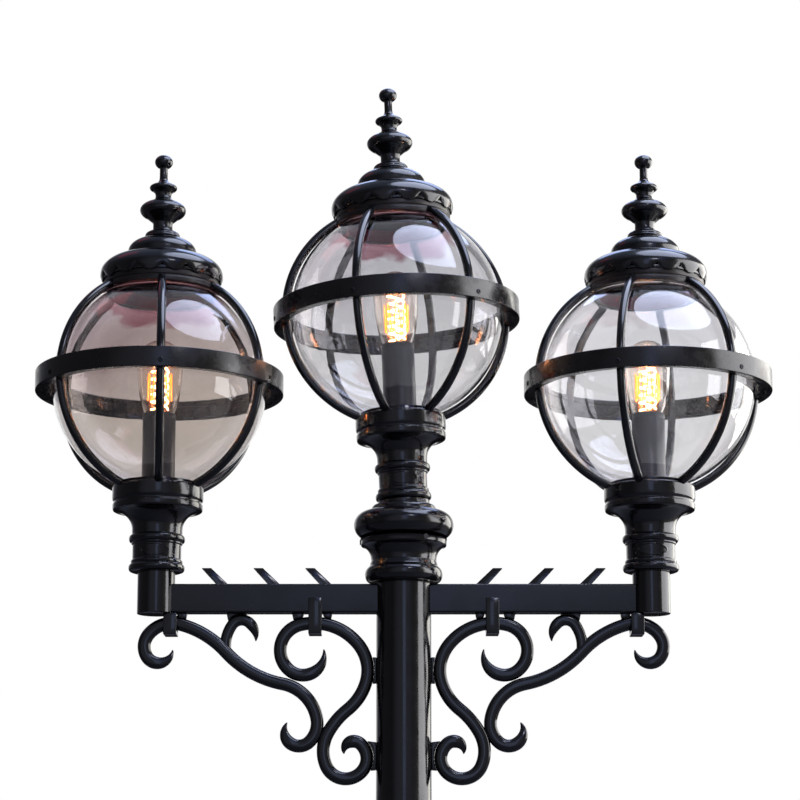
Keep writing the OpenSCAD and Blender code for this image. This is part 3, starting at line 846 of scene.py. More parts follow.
@dataclass
class Grower:
    """A geometry node tree that makes one piece, and the modifier that runs it.

    Inputs are named with _ for a space, and each has its usual value in metres.
    """

    name: str
    inputs: dict[str, Any]
    plan: Callable[[Pen, dict[str, Socket]], Socket]

    def tree(self) -> Tree:
        """The node tree, with its named inputs, made once."""
        found = bpy.data.node_groups.get(self.name)
        if found:
            return found
        made = bpy.data.node_groups.new(self.name, "GeometryNodeTree")
        kinds = {int: "Int", float: "Float", tuple: "Vector"}
        ports = [(way, "Geometry", "Geometry", None) for way in ("OUTPUT", "INPUT")]
        ports += [("INPUT", key.replace("_", " "), kinds[type(value)], value)
                  for key, value in self.inputs.items()]
        for way, key, kind, value in ports + [("INPUT", "Finish", "Material", None)]:
            socket = made.interface.new_socket(key, in_out=way,
                                               socket_type="NodeSocket" + kind)
            if value is not None:
                socket.default_value = value
        ends, pen = node(made, "NodeGroupInput"), Pen(made)
        shape = self.plan(pen, {s.name: s for s in ends.outputs if s.name})
        loose = pen.add("GeometryNodeRealizeInstances", Geometry=shape)
        painted = pen.add("GeometryNodeSetMaterial", Geometry=loose,
                          Material=ends.outputs["Finish"])
        node(made, "NodeGroupOutput", inputs={0: painted})
        return made

    def grow(self, piece: str, finish: Finish, at: Matrix = Matrix.Identity(4),
             seed: bpy.types.Mesh | Shell | None = None, crease: float = 32.0,
             **values: Any) -> Object:
        """Runs the tree and turns the result into a plain mesh.

        Args:
            piece: the new object's name.
            finish: its finish.
            at: its place, in millimetres.
            seed: a mesh or a shell for the tree to start from.
            crease: edges that turn by more than this many degrees stay sharp.
            values: the named inputs, with _ for a space.

        Returns:
            The new object, with its place in its mesh.
        """
        if isinstance(seed, Shell):
            pattern = seed.build(finish)
            seed = pattern.data
            bpy.data.objects.remove(pattern)
        start = seed or bpy.data.meshes.new(piece + "_seed")
        host = linked(piece + "_host", start)
        run = host.modifiers.new("grow", "NODES")
        run.node_group = self.tree()
        keys = {s.name: s.identifier for s in run.node_group.interface.items_tree
                if s.in_out == "INPUT"}
        for key, value in values.items():
            run[keys[key.replace("_", " ")]] = value
        run[keys["Finish"]] = finish.material()
        view = bpy.context.evaluated_depsgraph_get()
        mesh = bpy.data.meshes.new_from_object(host.evaluated_get(view))
        host.modifiers.clear()
        bpy.data.objects.remove(host)
        shift = at.copy()
        shift.translation = shift.translation * MM
        mesh.transform(shift)
        mesh.name = piece
        return dressed(piece, mesh, finish, crease)


def plan_ribs(pen: Pen, given: dict[str, Socket]) -> Socket:
    """Round ribs that follow the globe: an arc swept by a circle, repeated round Z.

    Args:
        pen: draws into the tree.
        given: its named inputs.

    Returns:
        The ribs as instances.
    """
    bow = pen.add("GeometryNodeCurveArc", {"mode": "RADIUS"},
                  Resolution=given["Steps"], Radius=given["Rib radius"],
                  Start_Angle=given["From"], Sweep_Angle=given["Sweep"])
    bar = pen.add("GeometryNodeCurveToMesh", Curve=bow, Fill_Caps=True,
                  Profile_Curve=circle(pen, 20, given["Bar radius"]))
    # the arc lies in XY; it is stood up in the XZ plane and turned to the front
    stood = pen.add("GeometryNodeTransform", Geometry=bar,
                    Rotation=(math.pi / 2, 0.0, -math.pi / 2))
    raised = pen.add("GeometryNodeTransform", Geometry=stood,
                     Translation=pen.rise(given["Equator"]))
    return around(pen, raised, given["Count"])


def circle(pen: Pen, steps: Any, radius: Socket) -> Socket:
    """A circle as a curve of so many steps."""
    return pen.add("GeometryNodeCurvePrimitiveCircle", {"mode": "RADIUS"},
                   Resolution=steps, Radius=radius)


def around(pen: Pen, shape: Socket, count: Socket) -> Socket:
    """Repeats a shape at equal steps round Z.

    Args:
        pen: draws into the tree.
        shape: what is repeated.
        count: how many there are.

    Returns:
        The instances.
    """
    spots = pen.add("GeometryNodePoints", Count=count)
    number = pen.add("GeometryNodeInputIndex")
    turn = pen.maths("MULTIPLY", number, pen.maths("DIVIDE", 2 * math.pi, count))
    return pen.add("GeometryNodeInstanceOnPoints", Points=spots, Instance=shape,
                   Rotation=pen.rise(turn))


def plan_heads(pen: Pen, given: dict[str, Socket]) -> Socket:
    """The seed mesh, such as a screw head, repeated round Z.

    Args:
        pen: draws into the tree.
        given: its named inputs.

    Returns:
        The copies as instances.
    """
    return around(pen, given["Geometry"], given["Count"])


def plan_row(pen: Pen, given: dict[str, Socket]) -> Socket:
    """The seed mesh repeated along a line, such as the spikes.

    Args:
        pen: draws into the tree.
        given: its named inputs.

    Returns:
        The copies as instances.
    """
    line = pen.add("GeometryNodeMeshLine", {"mode": "OFFSET"}, Count=given["Count"],
                   Start_Location=given["Start"], Offset=given["Step"])
    return pen.add("GeometryNodeInstanceOnPoints", Points=line,
                   Instance=given["Geometry"])


def plan_scallops(pen: Pen, given: dict[str, Socket]) -> Socket:
    """Lifts a plain skirt's edge into cusps, so that round lobes hang between them.

    Args:
        pen: draws into the tree.
        given: its named inputs.

    Returns:
        The canopy with its scalloped edge.
    """
    parts = pen.parts(pen.add("GeometryNodeInputPosition"))
    turn = pen.maths("ARCTAN2", parts["X"], parts["Y"])
    # 0 at a cusp and 1 at the middle of a lobe; a cusp stands at the front
    steps = pen.maths("MULTIPLY", turn, given["Half count"])
    wave = pen.maths("SINE", pen.maths("ADD", steps, given["Phase"]))
    near = pen.maths("ARCCOSINE", pen.maths("ABSOLUTE", wave))
    bend = pen.maths("POWER", pen.maths("DIVIDE", near, math.pi / 2), given["Roundness"])
    fade = pen.remap(parts["Z"], 0.0, given["Crease"], 1.0, 0.0)
    lift = pen.maths("MULTIPLY", pen.maths("MULTIPLY", bend, given["Depth"]), fade)
    return pen.add("GeometryNodeSetPosition", Geometry=given["Geometry"],
                   Offset=pen.rise(lift))


def plan_zigzag(pen: Pen, given: dict[str, Socket]) -> Socket:
    """A filament strung up and down round a ring of hooks.

    Args:
        pen: draws into the tree.
        given: its named inputs.

    Returns:
        The bent wire.
    """
    ring = circle(pen, given["Turns"], given["Ring radius"])
    odd = pen.maths("MODULO", pen.add("GeometryNodeInputIndex"), 2.0)
    high = pen.maths("MULTIPLY_ADD", odd, given["Height"], given["Foot"])
    strung = pen.add("GeometryNodeSetPosition", Geometry=ring, Offset=pen.rise(high))
    bent = pen.add("GeometryNodeFilletCurve", {"mode": "POLY"}, Curve=strung, Count=4,
                   Radius=given["Bend"], Limit_Radius=True)
    return pen.add("GeometryNodeCurveToMesh", Curve=bent,
                   Profile_Curve=circle(pen, 8, given["Wire radius"]))


def plan_helix(pen: Pen, given: dict[str, Socket]) -> Socket:
    """Filament strands that climb side by side in a helix.

    Args:
        pen: draws into the tree.
        given: its named inputs.

    Returns:
        The strands as instances.
    """
    climb = pen.add("GeometryNodeCurveSpiral", Resolution=given["Steps"],
                    Rotations=given["Rotations"], Start_Radius=given["Coil radius"],
                    End_Radius=given["Coil radius"], Height=given["Height"])
    strand = pen.add("GeometryNodeCurveToMesh", Curve=climb, Fill_Caps=True,
                     Profile_Curve=circle(pen, 8, given["Wire radius"]))
    raised = pen.add("GeometryNodeTransform", Geometry=strand,
                     Translation=pen.rise(given["Foot"]))
    return around(pen, raised, given["Count"])


RIBS = Grower("cage_ribs", dict(
    Count=6, Steps=40, Rib_radius=0.157, Bar_radius=0.006, From=0.0, Sweep=1.0,
    Equator=0.266), plan_ribs)
HEADS = Grower("ring_of_fasteners", dict(Count=6), plan_heads)
ROW = Grower("row_of_spikes", dict(
    Count=3, Start=(0.0, 0.0, 0.5), Step=(0.0715, 0.0, 0.0)), plan_row)
SCALLOPS = Grower("scalloped_skirt", dict(
    Half_count=7.5, Phase=0.0, Depth=0.009, Crease=0.013, Roundness=2.1), plan_scallops)
ZIGZAG = Grower("zigzag_filament", dict(
    Turns=16, Ring_radius=0.017, Height=0.067, Foot=0.229, Bend=0.0016,
    Wire_radius=0.00095), plan_zigzag)
HELIX = Grower("helix_filament", dict(
    Count=2, Steps=28, Rotations=3.1, Coil_radius=0.0115, Height=0.067, Foot=0.231,
    Wire_radius=0.00135), plan_helix)


# ---------------------------------------------------------------- column and arms

@dataclass
class Column:
    """The column tube and its collar casting."""

    tube_d: float = 76.1
    wall: float = 4.5
    arm_top: float = 500.0
    collar_d: float = 138.6
    collar_h: float = 114.0
    socket: float = 58.0
    spigot_r: float = 26.0
    spigot_bore: float = 23.0
    spigot_h: float = 50.0

    @property
    def collar_z(self) -> float:
        """Height of the collar's underside."""
        return self.arm_top + 3

    def tube(self) -> None:
        """Makes the column tube, with softened ends."""
        r, top = self.tube_d / 2, self.collar_z + self.socket
        shell = Shell("column")
        shell.lathe([(r, 0), (r, top), (r - self.wall, top), (r - self.wall, 0)], 128,
                    ease=1.2)
        settle(shell, "frame", TUBE_ENAMEL, "column_tube")

    def collar_outline(self) -> Profile:
        """The collar's outside: foot bead, cavetto, fillet, big roll and cap."""
        r, top, roll = self.collar_d / 2, self.collar_h, 19.0
        roll_z, low = top - 34, self.collar_d / 2 - 15.5
        return ([(low - 7, 0.0)] + arc((low - 7, 10.5), 7, 10.5, -90, 60, 12)
                + [(low - 6, 22.0), (low - 8, 28.6)]
                + arc((r - 9, 29), 15, 22, 180, 95, 14)
                + [(r - 9.5, roll_z - roll - 7.5), (r - 9.5, roll_z - roll + 4)]
                + arc((r - roll, roll_z), roll, roll, -60, 80, 20)
                + [(r - 23, roll_z + roll)]
                + arc((r - 29, top - 14), 5, 8, 0, 80, 8))

    def collar(self, seat: Matrix) -> None:
        """Makes the collar casting with its leaned seat and spigot.

        Args:
            seat: the centre lantern's seat, in millimetres.
        """
        shell = Shell("collar_casting")
        bore = self.tube_d / 2 + BORE_GAP
        outline = [(bore, 0.0)] + self.collar_outline()
        floor = self.socket + REST_GAP
        outline += [(20.0, self.collar_h - 6), (20.0, floor), (bore, floor)]
        shell.lathe(outline, 160, ease=1.6, at=Matrix.Translation((0, 0, self.collar_z)))
        r, inner, top = self.spigot_r, self.spigot_bore, self.spigot_h - REST_GAP
        spigot = [(36.0, -10.3), (36.0, -REST_GAP), (r, -REST_GAP), (r, top), (inner, top),
                  (inner, -10.3)]
        shell.lathe(spigot, ease=1.0, at=seat)
        settle(shell, "frame", CAST_ENAMEL, "collar")


@dataclass
class Arm:
    """One cross arm with its end post."""

    side: Side
    reach: float = 342.0
    foot_z: float = 460.0
    height: float = 40.0
    depth: float = 25.0
    corner: float = 2.6
    column_r: float = 38.05
    post_r: float = 26.0
    post_wall: float = 3.0
    seat_z: float = 517.0
    spigot_h: float = 50.0

    def tube(self) -> None:
        """Makes the arm's tube, coped to the column and to the post."""
        half_d, half_h = self.depth / 2, self.height / 2
        middle = self.foot_z + half_h
        outline: Profile = []
        for sx, sz, turn in ((1, 1, 0), (-1, 1, 90), (-1, -1, 180), (1, -1, 270)):
            outline += arc((sx * (half_d - self.corner), sz * (half_h - self.corner)),
                           self.corner, self.corner, turn, turn + 90, 5)
        rows = []
        for f in (i / 24 for i in range(25)):
            row = []
            for y, z in outline:
                inner = math.sqrt((self.column_r + BORE_GAP) ** 2 - y * y)
                outer = self.reach - math.sqrt((self.post_r + BORE_GAP) ** 2 - y * y)
                row.append(Vector((self.side.value * (inner + (outer - inner) * f), y,
                                   middle + z)))
            rows.append(row)
        shell = Shell("arm_tube_" + self.side.tag)
        shell.capped(rows)
        settle(shell, "frame", ARM_ENAMEL, "arm_" + self.side.tag)

    def post(self) -> None:
        """Makes the end post, a closed-foot tube that the lantern turns on."""
        r, wall = self.post_r, self.post_wall
        low, top = self.foot_z - 1, self.seat_z + self.spigot_h
        shell = Shell("end_post_" + self.side.tag)
        shell.lathe([(0, low), (r, low), (r, top), (r - wall, top), (r - wall, low + 5),
                     (0, low + 5)], loop=False, ease=1.6,
                    at=Matrix.Translation((self.side.value * self.reach, 0, 0)))
        settle(shell, "frame", TUBE_ENAMEL, "post_" + self.side.tag)


@dataclass
class Spikes:
    """The raked anti-climb spikes on both arms."""

    pitch: float = 71.5
    count: int = 3
    rise: float = 23.0
    width: float = 16.0
    thick: float = 8.0
    arm_top: float = 500.0

    def build(self) -> None:
        """Makes one spike and repeats it along both arms."""
        rise, half = self.rise, self.width / 2
        flat = [(-half, 0.0), (half, 0.0), (half - rise - 1, rise), (-half - rise + 2, rise)]
        # ends are drawn in a little; rows are the place across the arm and the size
        stations = [Matrix(((grow, 0, 0, -(1 - grow) * rise / 2),
                            (0, 0, 1, y * self.thick / 2), (0, grow, 0, 0), (0, 0, 0, 1)))
                    for y, grow in ((-1.0, 0.94), (-0.86, 1.0), (0.86, 1.0), (1.0, 0.94))]
        seed = Shell("spike_seed")
        seed.prism(softened(flat, 0.9, steps=2), stations)
        made = seed.build(TUBE_ENAMEL)
        for side in Side:
            mesh = made.data.copy()
            if side is Side.RIGHT:
                mesh.transform(Matrix.Scale(-1, 4, (1, 0, 0)))
                mesh.flip_normals()
            step = side.value * self.pitch * MM
            piece = ROW.grow(
                "spikes_" + side.tag, TUBE_ENAMEL, seed=mesh, Count=self.count,
                Step=(step, 0.0, 0.0), Start=(step * 1.5, 0.0, self.arm_top * MM))
            settle(piece, "frame", TUBE_ENAMEL, "climb_spikes")
        bpy.data.objects.remove(made)


@dataclass
class Scroll:
    """Forged scroll bars: chains of arcs, tapering to each free curl.

    Rows are a radius and a sweep in degrees, anticlockwise positive, from a
    start point and heading in the plane of the left bracket.
    """

    side: Side
    arm_z: float = 460.0
    bar_w: float = 18.0
    bar_t: float = 16.0
    boxiness: float = 0.72
    thin: float = 0.12
    tip: float = 1.2
    step: float = 3.0
    outer: tuple = ((-317.75, -51.3), 264.4, (
        (19.2, -143.5), (26.6, -68.6), (40.9, -66.4), (130.6, -33.4), (144.3, 36.4),
        (59.5, -69.5), (34.8, -55.9), (20.2, -167.3)))
    leaf: tuple = ((-244.05, -54.2), 102.1, ((49.3, -46.7), (16, -97.3), (27.8, -56)))
    inner: tuple = ((-109.89, -50.3), 281.8, (
        (29, -140.2), (36.1, -128), (78.9, -64.8), (57.6, -54.3), (74.6, -35.9),
        (104.8, 23.3), (50.7, 51.9), (29.1, 128.1), (26.3, 77.3), (13.6, 142.7)))

    def stations(self, start: Point, heading: float,
                 rows: Iterable[tuple[float, float]]) -> list[tuple[float, float, float, float]]:
        """Follows the arcs.

        Args:
            start: the first point.
            heading: the first direction, in degrees.
            rows: radius and sweep of each arc.

        Returns:
            Point, heading and distance run, for each station.
        """
        x, z, h, run = start[0], start[1], heading, 0.0
        out = [(x, z, h, run)]
        for radius, sweep in rows:
            g = 1 if sweep > 0 else -1
            n = max(3, math.ceil(abs(sweep) / self.step))
            x0, z0, h0 = x, z, h
            for k in range(1, n + 1):
                s = sweep * k / n
                a, b = math.radians(h0), math.radians(h0 + s)
                x = x0 - g * radius * math.sin(a) + g * radius * math.sin(b)
                z = z0 + g * radius * math.cos(a) - g * radius * math.cos(b)
                h = h0 + s
                out.append((x, z, h, run + radius * math.radians(abs(s))))
            run = out[-1][3]
        return out

    def section(self, scale: float) -> Profile:
        """A rounded bar section.

        Args:
            scale: its share of the full size.

        Returns:
            Points across the bar's width and thickness.
        """
        def across(size: float, share: float) -> float:
            """Distance from the middle, for a cosine or a sine."""
            return size / 2 * scale * math.copysign(abs(share) ** self.boxiness, share)

        turns = (2 * math.pi * i / 20 for i in range(20))
        return [(across(self.bar_w, math.cos(t)), across(self.bar_t, math.sin(t)))
                for t in turns]

    def bar(self, shell: Shell, run: tuple, head: float, tail: float,
            size: float = 1.0) -> None:
        """Sweeps one bar into a shell.

        Args:
            shell: the shell that gets it.
            run: start, heading and rows.
            head: length of the taper at the start, or 0 for none.
            tail: length of the taper at the end, or 0 for none.
            size: share of the full section.
        """
        points = self.stations(*run)
        whole = points[-1][3]
        rows = []
        for x, z, h, s in points:
            share = 1.0
            for span, far in ((head, s), (tail, whole - s)):
                if span:
                    full = math.sin(math.pi / 2 * min(1.0, far / span))
                    share = min(share, self.thin + (1 - self.thin) * full)
            a = math.radians(h)
            rows.append([Vector((x - w * math.sin(a), t, z + w * math.cos(a)))
                         for w, t in self.section(size * share)])
        for index, out, where in ((0, -self.tip, 0), (-1, self.tip, len(rows) + 1)):
            x, z, h, _ = points[index]
            a = math.radians(h)
            rows.insert(where, [Vector((x + out * math.cos(a), 0, z + out * math.sin(a)))])
        shell.rings(rows)

    def build(self) -> None:
        """Makes the outer scroll with its leaf, and the inner scroll."""
        place = Matrix.Translation((0, 0, self.arm_z))
        if self.side is Side.RIGHT:
            place = place @ Matrix.Scale(-1, 4, (1, 0, 0))
        # each bar has its arcs, the tapers at its two ends and its share of the section
        for part, bars in (("outer", ((self.outer, 38, 33), (self.leaf, 0, 26, 0.86))),
                           ("inner", ((self.inner, 46, 23),))):
            shell = Shell(f"scroll_{part}_{self.side.tag}")
            for bar in bars:
                self.bar(shell, *bar)
            settle(shell, "frame", TUBE_ENAMEL, f"{part}_scroll_{self.side.tag}",
                   at=place)


@dataclass
class Straps:
    """The strap clips and packers that hold the scrolls: the frame's own solids, edges eased."""

    ease: float = 0.8
    pieces: tuple = (("scroll_clips", "strap_clips"), ("scroll_packers", "weld_packers"))

    def build(self) -> None:
        """Copies each node's solid, merges it and eases its edges."""
        for name, label in self.pieces:
            mesh = FRAME["nodes"][name].data.copy()
            work = bmesh.new()
            work.from_mesh(mesh)
            bmesh.ops.remove_doubles(work, verts=work.verts, dist=1e-5)
            bmesh.ops.dissolve_limit(work, angle_limit=math.radians(1.5),
                                     verts=work.verts, edges=work.edges)
            sharp = [e for e in work.edges if len(e.link_faces) == 2
                     and e.calc_face_angle(0) > math.radians(40)]
            bmesh.ops.bevel(work, geom=sharp, offset=self.ease * MM, segments=2,
                            profile=0.5, affect="EDGES", clamp_overlap=True)
            bmesh.ops.triangulate(work, faces=[f for f in work.faces
                                               if len(f.verts) > 4])
            work.to_mesh(mesh)
            work.free()
            mesh.name = label
            piece = dressed(label, mesh, TUBE_ENAMEL)
            settle(piece, "frame", TUBE_ENAMEL, name)


# ---------------------------------------------------------------- lantern

@dataclass
class Lantern:
    """One caged globe lantern, from its base casting to its finial."""

    berth: Berth
    seat: Matrix
    neck_r: float = 33.8
    bead_r: float = 39.0
    gallery_r: float = 63.3
    base_h: float = 120.0
    lip: float = 5.0
    globe_r: float = 150.0
    globe_wall: float = 3.0
    mouth_r: float = 74.0
    rib_r: float = 157.0
    bar_r: float = 6.0
    ribs: int = 6
    belt_h: float = 27.5
    belt_wall: float = 9.5
    post_r: float = 26.0
    canopy_r: float = 86.4
    canopy_wall: float = 3.8
    canopy_h: float = 66.5
    scallops: int = 15
    scallop_h: float = 9.0
    hinge_out: float = 6.5
    knuckle_r: float = 5.1
    ring_h: float = 17.0
    skirt_up: float = 14.5
    plate: tuple[float, float, float] = (21.0, 8.5, 28.0)
    disc_r: float = 32.7
    tube_r: float = 23.0
    tube_top: float = 224.0
    bulb_r: float = 32.0
    bulb_show: float = 106.0

    @property
    def body(self) -> str:
        """The body that the cage and the lamp ride on."""
        return "lantern_" + self.berth.tag

    @property
    def lid(self) -> str:
        """The body that the canopy rides on."""
        return "lid_" + self.berth.tag

    @property
    def place(self) -> Matrix:
        """The lantern's place, with the cage's turn."""
        return self.seat @ Matrix.Rotation(math.radians(self.berth.turn), 4, "Z")

    @property
    def seat_r(self) -> float:
        """Radius of the ring that the globe sits in."""
        return self.gallery_r - 11

    @property
    def foot_r(self) -> float:
        """Radius of the globe's lower opening."""
        return self.seat_r - 7

    @property
    def sleeve_r(self) -> float:
        """Outer radius of the sleeve that stands in the globe's mouth."""
        return self.mouth_r - 4

    @property
    def equator(self) -> float:
        """Height of the globe's centre."""
        held = (self.globe_r + REST_GAP) ** 2 - self.seat_r ** 2
        return self.base_h + self.lip + math.sqrt(held)

    @property
    def mouth_z(self) -> float:
        """Height of the globe's upper mouth."""
        return self.equator + math.sqrt(self.globe_r ** 2 - self.mouth_r ** 2)

    @property
    def ring_z(self) -> float:
        """Height of the top ring's underside."""
        return self.mouth_z + 0.5

    @property
    def skirt_z(self) -> float:
        """Height of the canopy's lower edge."""
        return self.ring_z + self.skirt_up

    @property
    def ring_in(self) -> float:
        """Inner radius of the top ring."""
        return self.mouth_r - 8

    @property
    def ring_out(self) -> float:
        """Outer radius of the top ring, just inside the canopy."""
        return self.canopy_r - self.canopy_wall - 0.8

    @property
    def hinge(self) -> Point:
        """The hinge: its distance from the lantern's axis, and its height."""
        return (self.canopy_r + self.hinge_out, self.skirt_z + 1)

    def name(self, part: str) -> str:
        """A node's or a piece's name for this lantern."""
        return f"{part}_{self.berth.tag}"

    def fit(self, piece: Object | Shell, finish: Finish, *parts: str, body: str = "",
            crease: float = 32.0) -> None:
        """Settles a piece of the lantern.

        Args:
            piece: an object that is in place, or a shell to be built there.
            finish: its finish.
            parts: the nodes it stands for, without the lantern's ending.
            body: the body it rides on; left out, the cage's.
            crease: edges of a shell that turn by more than this many degrees stay sharp.
        """
        settle(piece, body or self.body, finish, *map(self.name, parts), at=self.place,
               crease=crease)

    def grown(self, grower: Grower, name: str, finish: Finish, *parts: str,
              seed: Shell | None = None, **values: Any) -> None:
        """Grows and settles a piece of the cage.

        Args:
            grower: the tree that makes it.
            name: the piece's name, without the lantern's ending.
            finish: its finish.
            parts: the nodes it stands for, without the lantern's ending.
            seed: a shell for the tree to start from.
            values: the tree's named inputs, with _ for a space.
        """
        made = grower.grow(self.name(name), finish, self.place, seed, **values)
        self.fit(made, finish, *parts)

    def base(self) -> None:
        """Makes the base casting: foot bead, neck, upper bead, cone and gallery."""
        g, b, n, h = self.gallery_r, self.bead_r, self.neck_r, self.base_h
        cone, bore, foot, lip = g - n - 1.7, self.post_r + 0.1, self.foot_r, h + self.lip
        outline = ([(bore, 0.0), (b - 6, 0.0), (b - 3, 0.8)]
                   + arc((b - 4, 6), 4, 5.5, -60, 90, 12)
                   + [(n + 2, 13.0), (n + 2, 16.0), (n, 17.0), (n, 38.0), (n + 1.5, 39.0),
                      (n + 1.5, 41.0)]
                   + arc((b - 4, 46.5), 4, 5.5, -90, 90, 12)
                   + [(n + 1.2, 53.0), (n + 1.2, 56.0)]
                   + arc((g - 1.7, 59), cone - 1.2, h - 93, 178, 95, 18)
                   + [(g - 1.5, h - 34), (g - 0.6, h - 31), (g - 0.6, h - 25.5),
                      (g - 2.2, h - 24.5), (g - 2.2, h - 22), (g - 1, h - 20.5),
                      (g, h - 18), (g, h - 2), (g - 1.5, h), (self.seat_r + 4.5, h),
                      (self.seat_r + 4.5, lip), (self.seat_r + BORE_GAP, lip)]
                   + [(foot + 1.5, h + 3.1), (foot - 2, h + 2.1), (foot - 2, h - 17),
                      (12.0, h - 17), (12.0, 50.3), (bore, 50.3)])
        shell = Shell(self.name("base_casting"))
        shell.lathe(outline, 144, ease=1.1)
        self.fit(shell, CAST_ENAMEL, "base")

    def badge(self) -> None:
        """Makes the bare oval plate on the front of the neck, with a raised rim."""
        steps, skin = 48, self.neck_r + 0.05
        half_w, half_h, middle = self.plate
        rows = [[Vector((0, 6 - skin, middle))]]
        # share of the oval, and how far it stands off the neck
        for share, stand in ((1.0, -1.0), (1.0, 0.7), (0.97, 1.15), (0.93, 1.2),
                             (0.89, 0.95), (0.86, 0.45), (0.6, 0.5), (0.3, 0.55)):
            row = []
            for j in range(steps):
                t = 2 * math.pi * j / steps
                x = half_w * share * math.cos(t)
                row.append(Vector((x, -math.sqrt((skin + stand) ** 2 - x * x),
                                   middle + half_h * share * math.sin(t))))
            rows.append(row)
        rows.append([Vector((0, -skin - 0.58, middle))])
        shell = Shell(self.name("plate"))
        shell.rings(rows)
        settle(shell, self.body, CAST_ENAMEL, at=self.seat)

    def cage(self) -> None:
        """Makes the two rings round the globe's equator and the ribs."""
        inner, outer = self.globe_r + 4.5, self.rib_r + self.bar_r + 0.5
        half, split = (self.belt_h - 3) / 2, self.equator + 4
        ring = Shell(self.name("cage_ring"))
        for low, high in ((self.equator - half, split - 0.1),
                          (split + 0.1, self.equator + half)):
            ring.lathe([(inner + 1.6, low), (outer, low), (outer, high),
                        (inner + 1.6, high), (inner, high - 1.6), (inner, low + 1.6)],
                       160, ease=0.5)
        self.fit(ring, BELT_ENAMEL)
        foot = math.acos((self.seat_r + 7.4) / self.rib_r)
        top = math.acos((self.ring_in + self.ring_out) / 2 / self.rib_r)
        for end, start, sweep in (("lower", -foot, foot), ("upper", -0.02, top)):
            self.grown(RIBS, "ribs_" + end, TUBE_ENAMEL, end + "_cage", From=start,
                       Sweep=sweep + 0.02, Count=self.ribs,
                       Rib_radius=self.rib_r * MM, Bar_radius=self.bar_r * MM,
                       Equator=self.equator * MM)

    def feet(self) -> None:
        """Makes the ribs' feet, short round bars let into the gallery rim."""
        z, inside = self.base_h - 3, self.seat_r + 5
        ends = ((inside, 0.7), (inside + 1, 0.95), (self.gallery_r - 7.2, 1.0))
        seed = Shell("foot_seed")
        seed.prism(arc((0, 0), self.bar_r, self.bar_r, 0, 337.5, 15),
                   [Matrix(((s, 0, 0, 0), (0, 0, 1, -y), (0, s, 0, z), (0, 0, 0, 1)))
                    for y, s in ends])
        self.grown(HEADS, "rib_feet", TUBE_ENAMEL, seed=seed, Count=self.ribs)

    def mouth(self) -> None:
        """Makes the top ring, its sleeve in the globe's mouth, and the hinge lugs."""
        inner, outer = self.ring_in, self.ring_out
        z, top = self.ring_z, self.ring_z + self.ring_h
        sleeve = self.sleeve_r
        outline = [(inner, z - 3), (sleeve, z - 3), (sleeve, z),
                   (outer, z), (outer, z + 6), (outer - 1, z + 7), (outer - 1, z + 9),
                   (outer, z + 10), (outer, top), (inner, top)]
        shell = Shell(self.name("mouth_ring"))
        shell.lathe(outline, 144, ease=1.0)
        self.fit(shell, BRONZE)
        # painted red reflection: a thin wine-red lining on the ring's inner wall that shows
        # through the glass as a red band
        lining = Shell(self.name("mouth_lining"))
        lining.lathe([(inner - 0.5, z - 2.6), (inner - 0.1, z - 2.6), (inner - 0.1, top - 1),
                      (inner - 0.5, top - 1)], 144)
        self.fit(lining, LINING_FOR_RED_REFLECTION)
        lugs = Shell(self.name("hinge_lugs"))
        (y, hz), r = self.hinge, self.knuckle_r
        lug = ([(outer - 6, z + 2), (y, hz - r)] + arc((y, hz), r, r, -80, 150, 12)
               + [(outer - 6, self.skirt_z - 0.4)])
        for x in (-9.4, 3.4):
            lugs.prism(lug, [Matrix(((0, 0, 1, x + d), (g, 0, 0, (1 - g) * (y - 8)),
                                     (0, g, 0, (1 - g) * hz), (0, 0, 0, 1)))
                             for d, g in ((0, 0.96), (0.5, 1), (5.5, 1), (6, 0.96))])
        self.fit(lugs, TUBE_ENAMEL)

    def belt(self) -> None:
        """Makes the flat belt round the cage, and its screws."""
        inner = self.rib_r + self.bar_r + 0.7
        outer, half = inner + self.belt_wall, self.belt_h / 2
        outline = [(inner, -half), (outer - 0.6, -half), (outer, -half + 0.6),
                   (outer, half - 0.6), (outer - 0.6, half), (inner, half)]
        shell = Shell(self.name("belt"))
        shell.lathe(outline, 192, ease=0.9, least=40,
                    at=Matrix.Translation((0, 0, self.equator)))
        self.fit(shell, BELT_ENAMEL, "band")
        seed = Shell("screw_seed")
        head = [(0, -3.0), (2.6, -3.0), (2.6, 0.0), (3.4, 0.0), (3.4, 0.6), (2.9, 1.0),
                (1.7, 1.1), (1.7, 0.2), (0, 0.2)]
        seed.lathe(head, 24, loop=False, ease=0.25,
                   at=Matrix.Translation((0, -outer - 0.1, self.equator - 5))
                   @ Matrix.Rotation(math.pi / 2, 4, "X"))
        self.grown(HEADS, "belt_screws", BLACK_STEEL, "lantern_screws", seed=seed,
                   Count=self.ribs)

    def glass(self) -> None:
        """Makes the blown globe: one closed wall with a foot and a mouth."""
        out_r, in_r = self.globe_r, self.globe_r - self.globe_wall
        rows = []
        for r, back in ((out_r, False), (in_r, True)):
            low, high = -math.acos(self.foot_r / r), math.acos(self.mouth_r / r)
            turns = [low + (high - low) * i / 72 for i in range(73)]
            ring = [(r * math.cos(a), self.equator + r * math.sin(a)) for a in turns]
            rows += ring[::-1] if back else ring
        shell = Shell(self.name("globe_glass"))
        shell.lathe(rows, 144)
        centre = self.seat @ Vector((0, 0, self.equator))
        # the globe's colour is painted reflection and painted shade, set per lantern
        glass = BlownGlass("smoked_blown_glass_" + self.berth.tag, "globe_glass",
                           centre=(centre.x, centre.z), radius=self.globe_r,
                           **GLOBE_PAINTED_LIGHT[self.berth])
        self.fit(shell, glass, "globe", crease=60)

